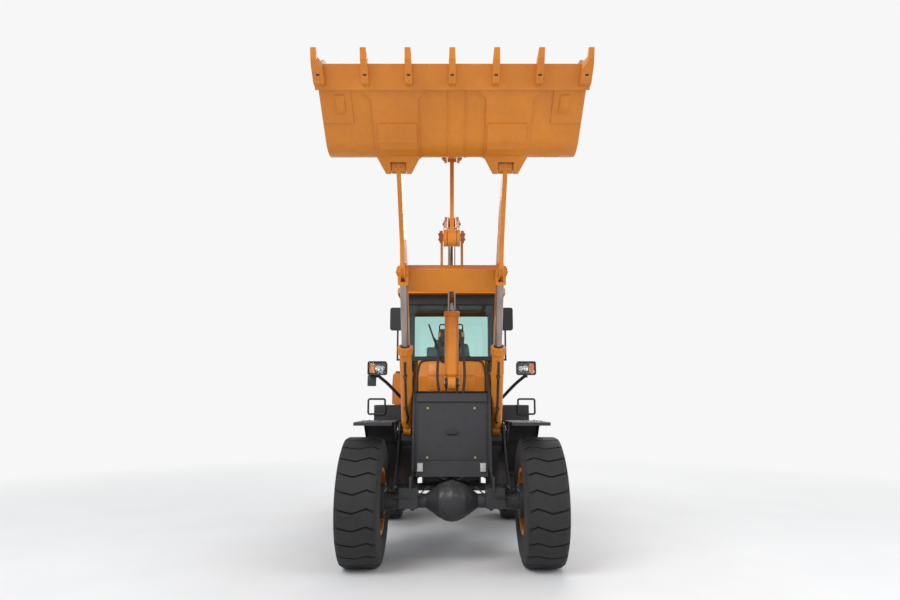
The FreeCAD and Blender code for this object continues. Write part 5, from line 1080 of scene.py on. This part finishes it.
def rear_details():
    tail = 3.07
    red = Form()
    amber = Form()
    clear = Form()
    for side in SIDES:
        for form, low, high in ((red, 0.83, 0.893), (amber, 0.772, 0.826), (clear, 0.727, 0.768)):
            form.block((side * low, tail - 0.002, 1.342), (side * high, tail + 0.010, 1.428), 0.006)
        red.cap(toward((side * 0.62, 3.235, 1.24), (side * 0.42, 0.9, 0)), 0.036, 0.006, 0.03, 0.009, 24)
    red.done("tail_lenses", "chassis", "red")
    amber.done("rear_indicator_lenses", "chassis", "amber")
    clear.done("reversing_lenses", "chassis", "clear")
    pin = Form(shift(*TOW_PIN))
    pin.turned(((0, 0.79), (0.016, 0.79), (0.0195, 0.80), (0.0195, 1.075), (0.034, 1.075), (0.034, 1.09),
                (0, 1.09)), None, 24)
    pin.done("tow_pin", "chassis", "steel")
    ring = ((0, 1.088), (0.03, 1.10), (0.04, 1.13), (0, 1.155), (-0.04, 1.13), (-0.03, 1.10))
    pipes("tow_pin_ring", [[(x, 0, z) for x, z in ring]], 0.006, "chassis", "steel", shift(*TOW_PIN), True)
    bolts = Form()
    for side in SIDES:
        for x in (0.25, 0.36):
            bolts.bolt((side * x, 3.33, 1.20), (0, 1, 0), 0.026)
            bolts.bolt((side * x, 3.33, 0.92), (0, 1, 0), 0.026)
        pad_bolts(bolts, side, (1.35, 1.58))
    bolts.done("rear_bolts", "chassis", "charcoal")
    knob = Form()
    knob.block((-0.43, 2.958, 1.60), (-0.40, 2.975, 1.70), 0.005)
    knob.cap(toward((-0.415, 2.96, 1.55), (0, 1, 0)), 0.03, 0.006, 0.024, 0.01, 20)
    knob.done("grille_latch", "rear_grille", "black")


bucket_details()
boom_details()
lift_details()
tilt_details()
hinge_hoses()
front_details()
lamp_details()
wheel_details()
axle_details()
cab_details()
seat_details()
deck_details()
hood_details()
rear_details()


# Floor, backdrop, light and camera


def backdrop():
    """A pale floor that bends up into a white wall far behind."""
    verts = []
    faces = []
    profile = [(-30, 0)] + [(24 + 8 * math.sin(a), 8 - 8 * math.cos(a)) for a in
                            [math.radians(10 * i) for i in range(10)]] + [(32, 40)]
    for y, z in profile:
        verts += [(-60, y, z), (60, y, z)]
    for i in range(len(profile) - 1):
        faces.append((2 * i, 2 * i + 1, 2 * i + 3, 2 * i + 2))
    mesh = bpy.data.meshes.new("backdrop")
    mesh.from_pydata(verts, [], faces)
    obj = bpy.data.objects.new("backdrop", mesh)
    bpy.context.scene.collection.objects.link(obj)
    mesh.shade_smooth()
    s = Shader("pale_backdrop")
    grain = s.ramp(s.noise(0.8, 4), ((0.3, (0.7, 0.7, 0.7)), (0.7, (0.74, 0.74, 0.74))))
    s.set(Base_Color=grain, Roughness=0.9)
    path = s.add("ShaderNodeLightPath")
    seen = s.maths("MAXIMUM", path.outputs["Is Camera Ray"], path.outputs["Is Glossy Ray"])
    seen = s.maths("MAXIMUM", seen, path.outputs["Is Transmission Ray"])
    x, y, z = s.split(s.coords)
    away = s.maths("SQRT", s.plus(s.times(x, x), s.times(y, y)))
    far = s.ramp(s.times(away, 0.05), ((0.14, 0), (0.6, 1)))
    shine = s.add("ShaderNodeEmission")
    shine.inputs["Color"].default_value = WHITE
    join = s.add("ShaderNodeMixShader")
    s.link(s.times(seen, far), join.inputs[0])
    s.link(s.bsdf.outputs[0], join.inputs[1])
    s.link(shine.outputs[0], join.inputs[2])
    s.link(join.outputs[0], s.tree.nodes["Material Output"].inputs["Surface"])
    mesh.materials.append(s.material)


def light(name, place, aim, size, power, colour=(1, 1, 1)):
    data = bpy.data.lights.new(name, "AREA")
    data.shape = "RECTANGLE"
    data.size, data.size_y = size
    data.energy = power
    data.color = colour
    obj = bpy.data.objects.new(name, data)
    obj.location = place
    obj.rotation_euler = (Vector(aim) - Vector(place)).to_track_quat("-Z", "Y").to_euler()
    bpy.context.scene.collection.objects.link(obj)


def world():
    """Soft light from all round, behind a white that only the camera and the glass see."""
    scene_world = bpy.data.worlds.new("studio")
    bpy.context.scene.world = scene_world
    scene_world.use_nodes = True
    tree = scene_world.node_tree
    background = tree.nodes["Background"]
    background.inputs["Color"].default_value = (0.86, 0.9, 0.95, 1)
    background.inputs["Strength"].default_value = 0.75
    shown = tree.nodes.new("ShaderNodeBackground")
    shown.inputs["Color"].default_value = WHITE
    path = tree.nodes.new("ShaderNodeLightPath")
    seen = tree.nodes.new("ShaderNodeMath")
    seen.operation = "MAXIMUM"
    join = tree.nodes.new("ShaderNodeMixShader")
    tree.links.new(path.outputs["Is Camera Ray"], seen.inputs[0])
    tree.links.new(path.outputs["Is Transmission Ray"], seen.inputs[1])
    tree.links.new(seen.outputs[0], join.inputs[0])
    tree.links.new(background.outputs[0], join.inputs[1])
    tree.links.new(shown.outputs[0], join.inputs[2])
    tree.links.new(join.outputs[0], tree.nodes["World Output"].inputs["Surface"])


def camera():
    data = bpy.data.cameras.new("camera")
    data.lens = CAMERA_FOCAL
    data.sensor_width = 36
    obj = bpy.data.objects.new("camera", data)
    obj.location = (-0.02, FRONT_AXLE_Y - CAMERA_AHEAD, CAMERA_HEIGHT)
    obj.rotation_euler = (math.radians(90 + CAMERA_PITCH), 0, 0)
    bpy.context.scene.collection.objects.link(obj)
    bpy.context.scene.camera = obj


backdrop()
world()
camera()
light("key", (-6, -9, 9), (0, 0, 2), (6, 6), 900)
light("fill", (8, -6, 5), (0, 0, 2), (6, 5), 350)
light("back", (3, 9, 9), (0, 0, 2.5), (8, 5), 700, (1, 0.97, 0.92))

bpy.context.scene.view_settings.view_transform = "Standard"
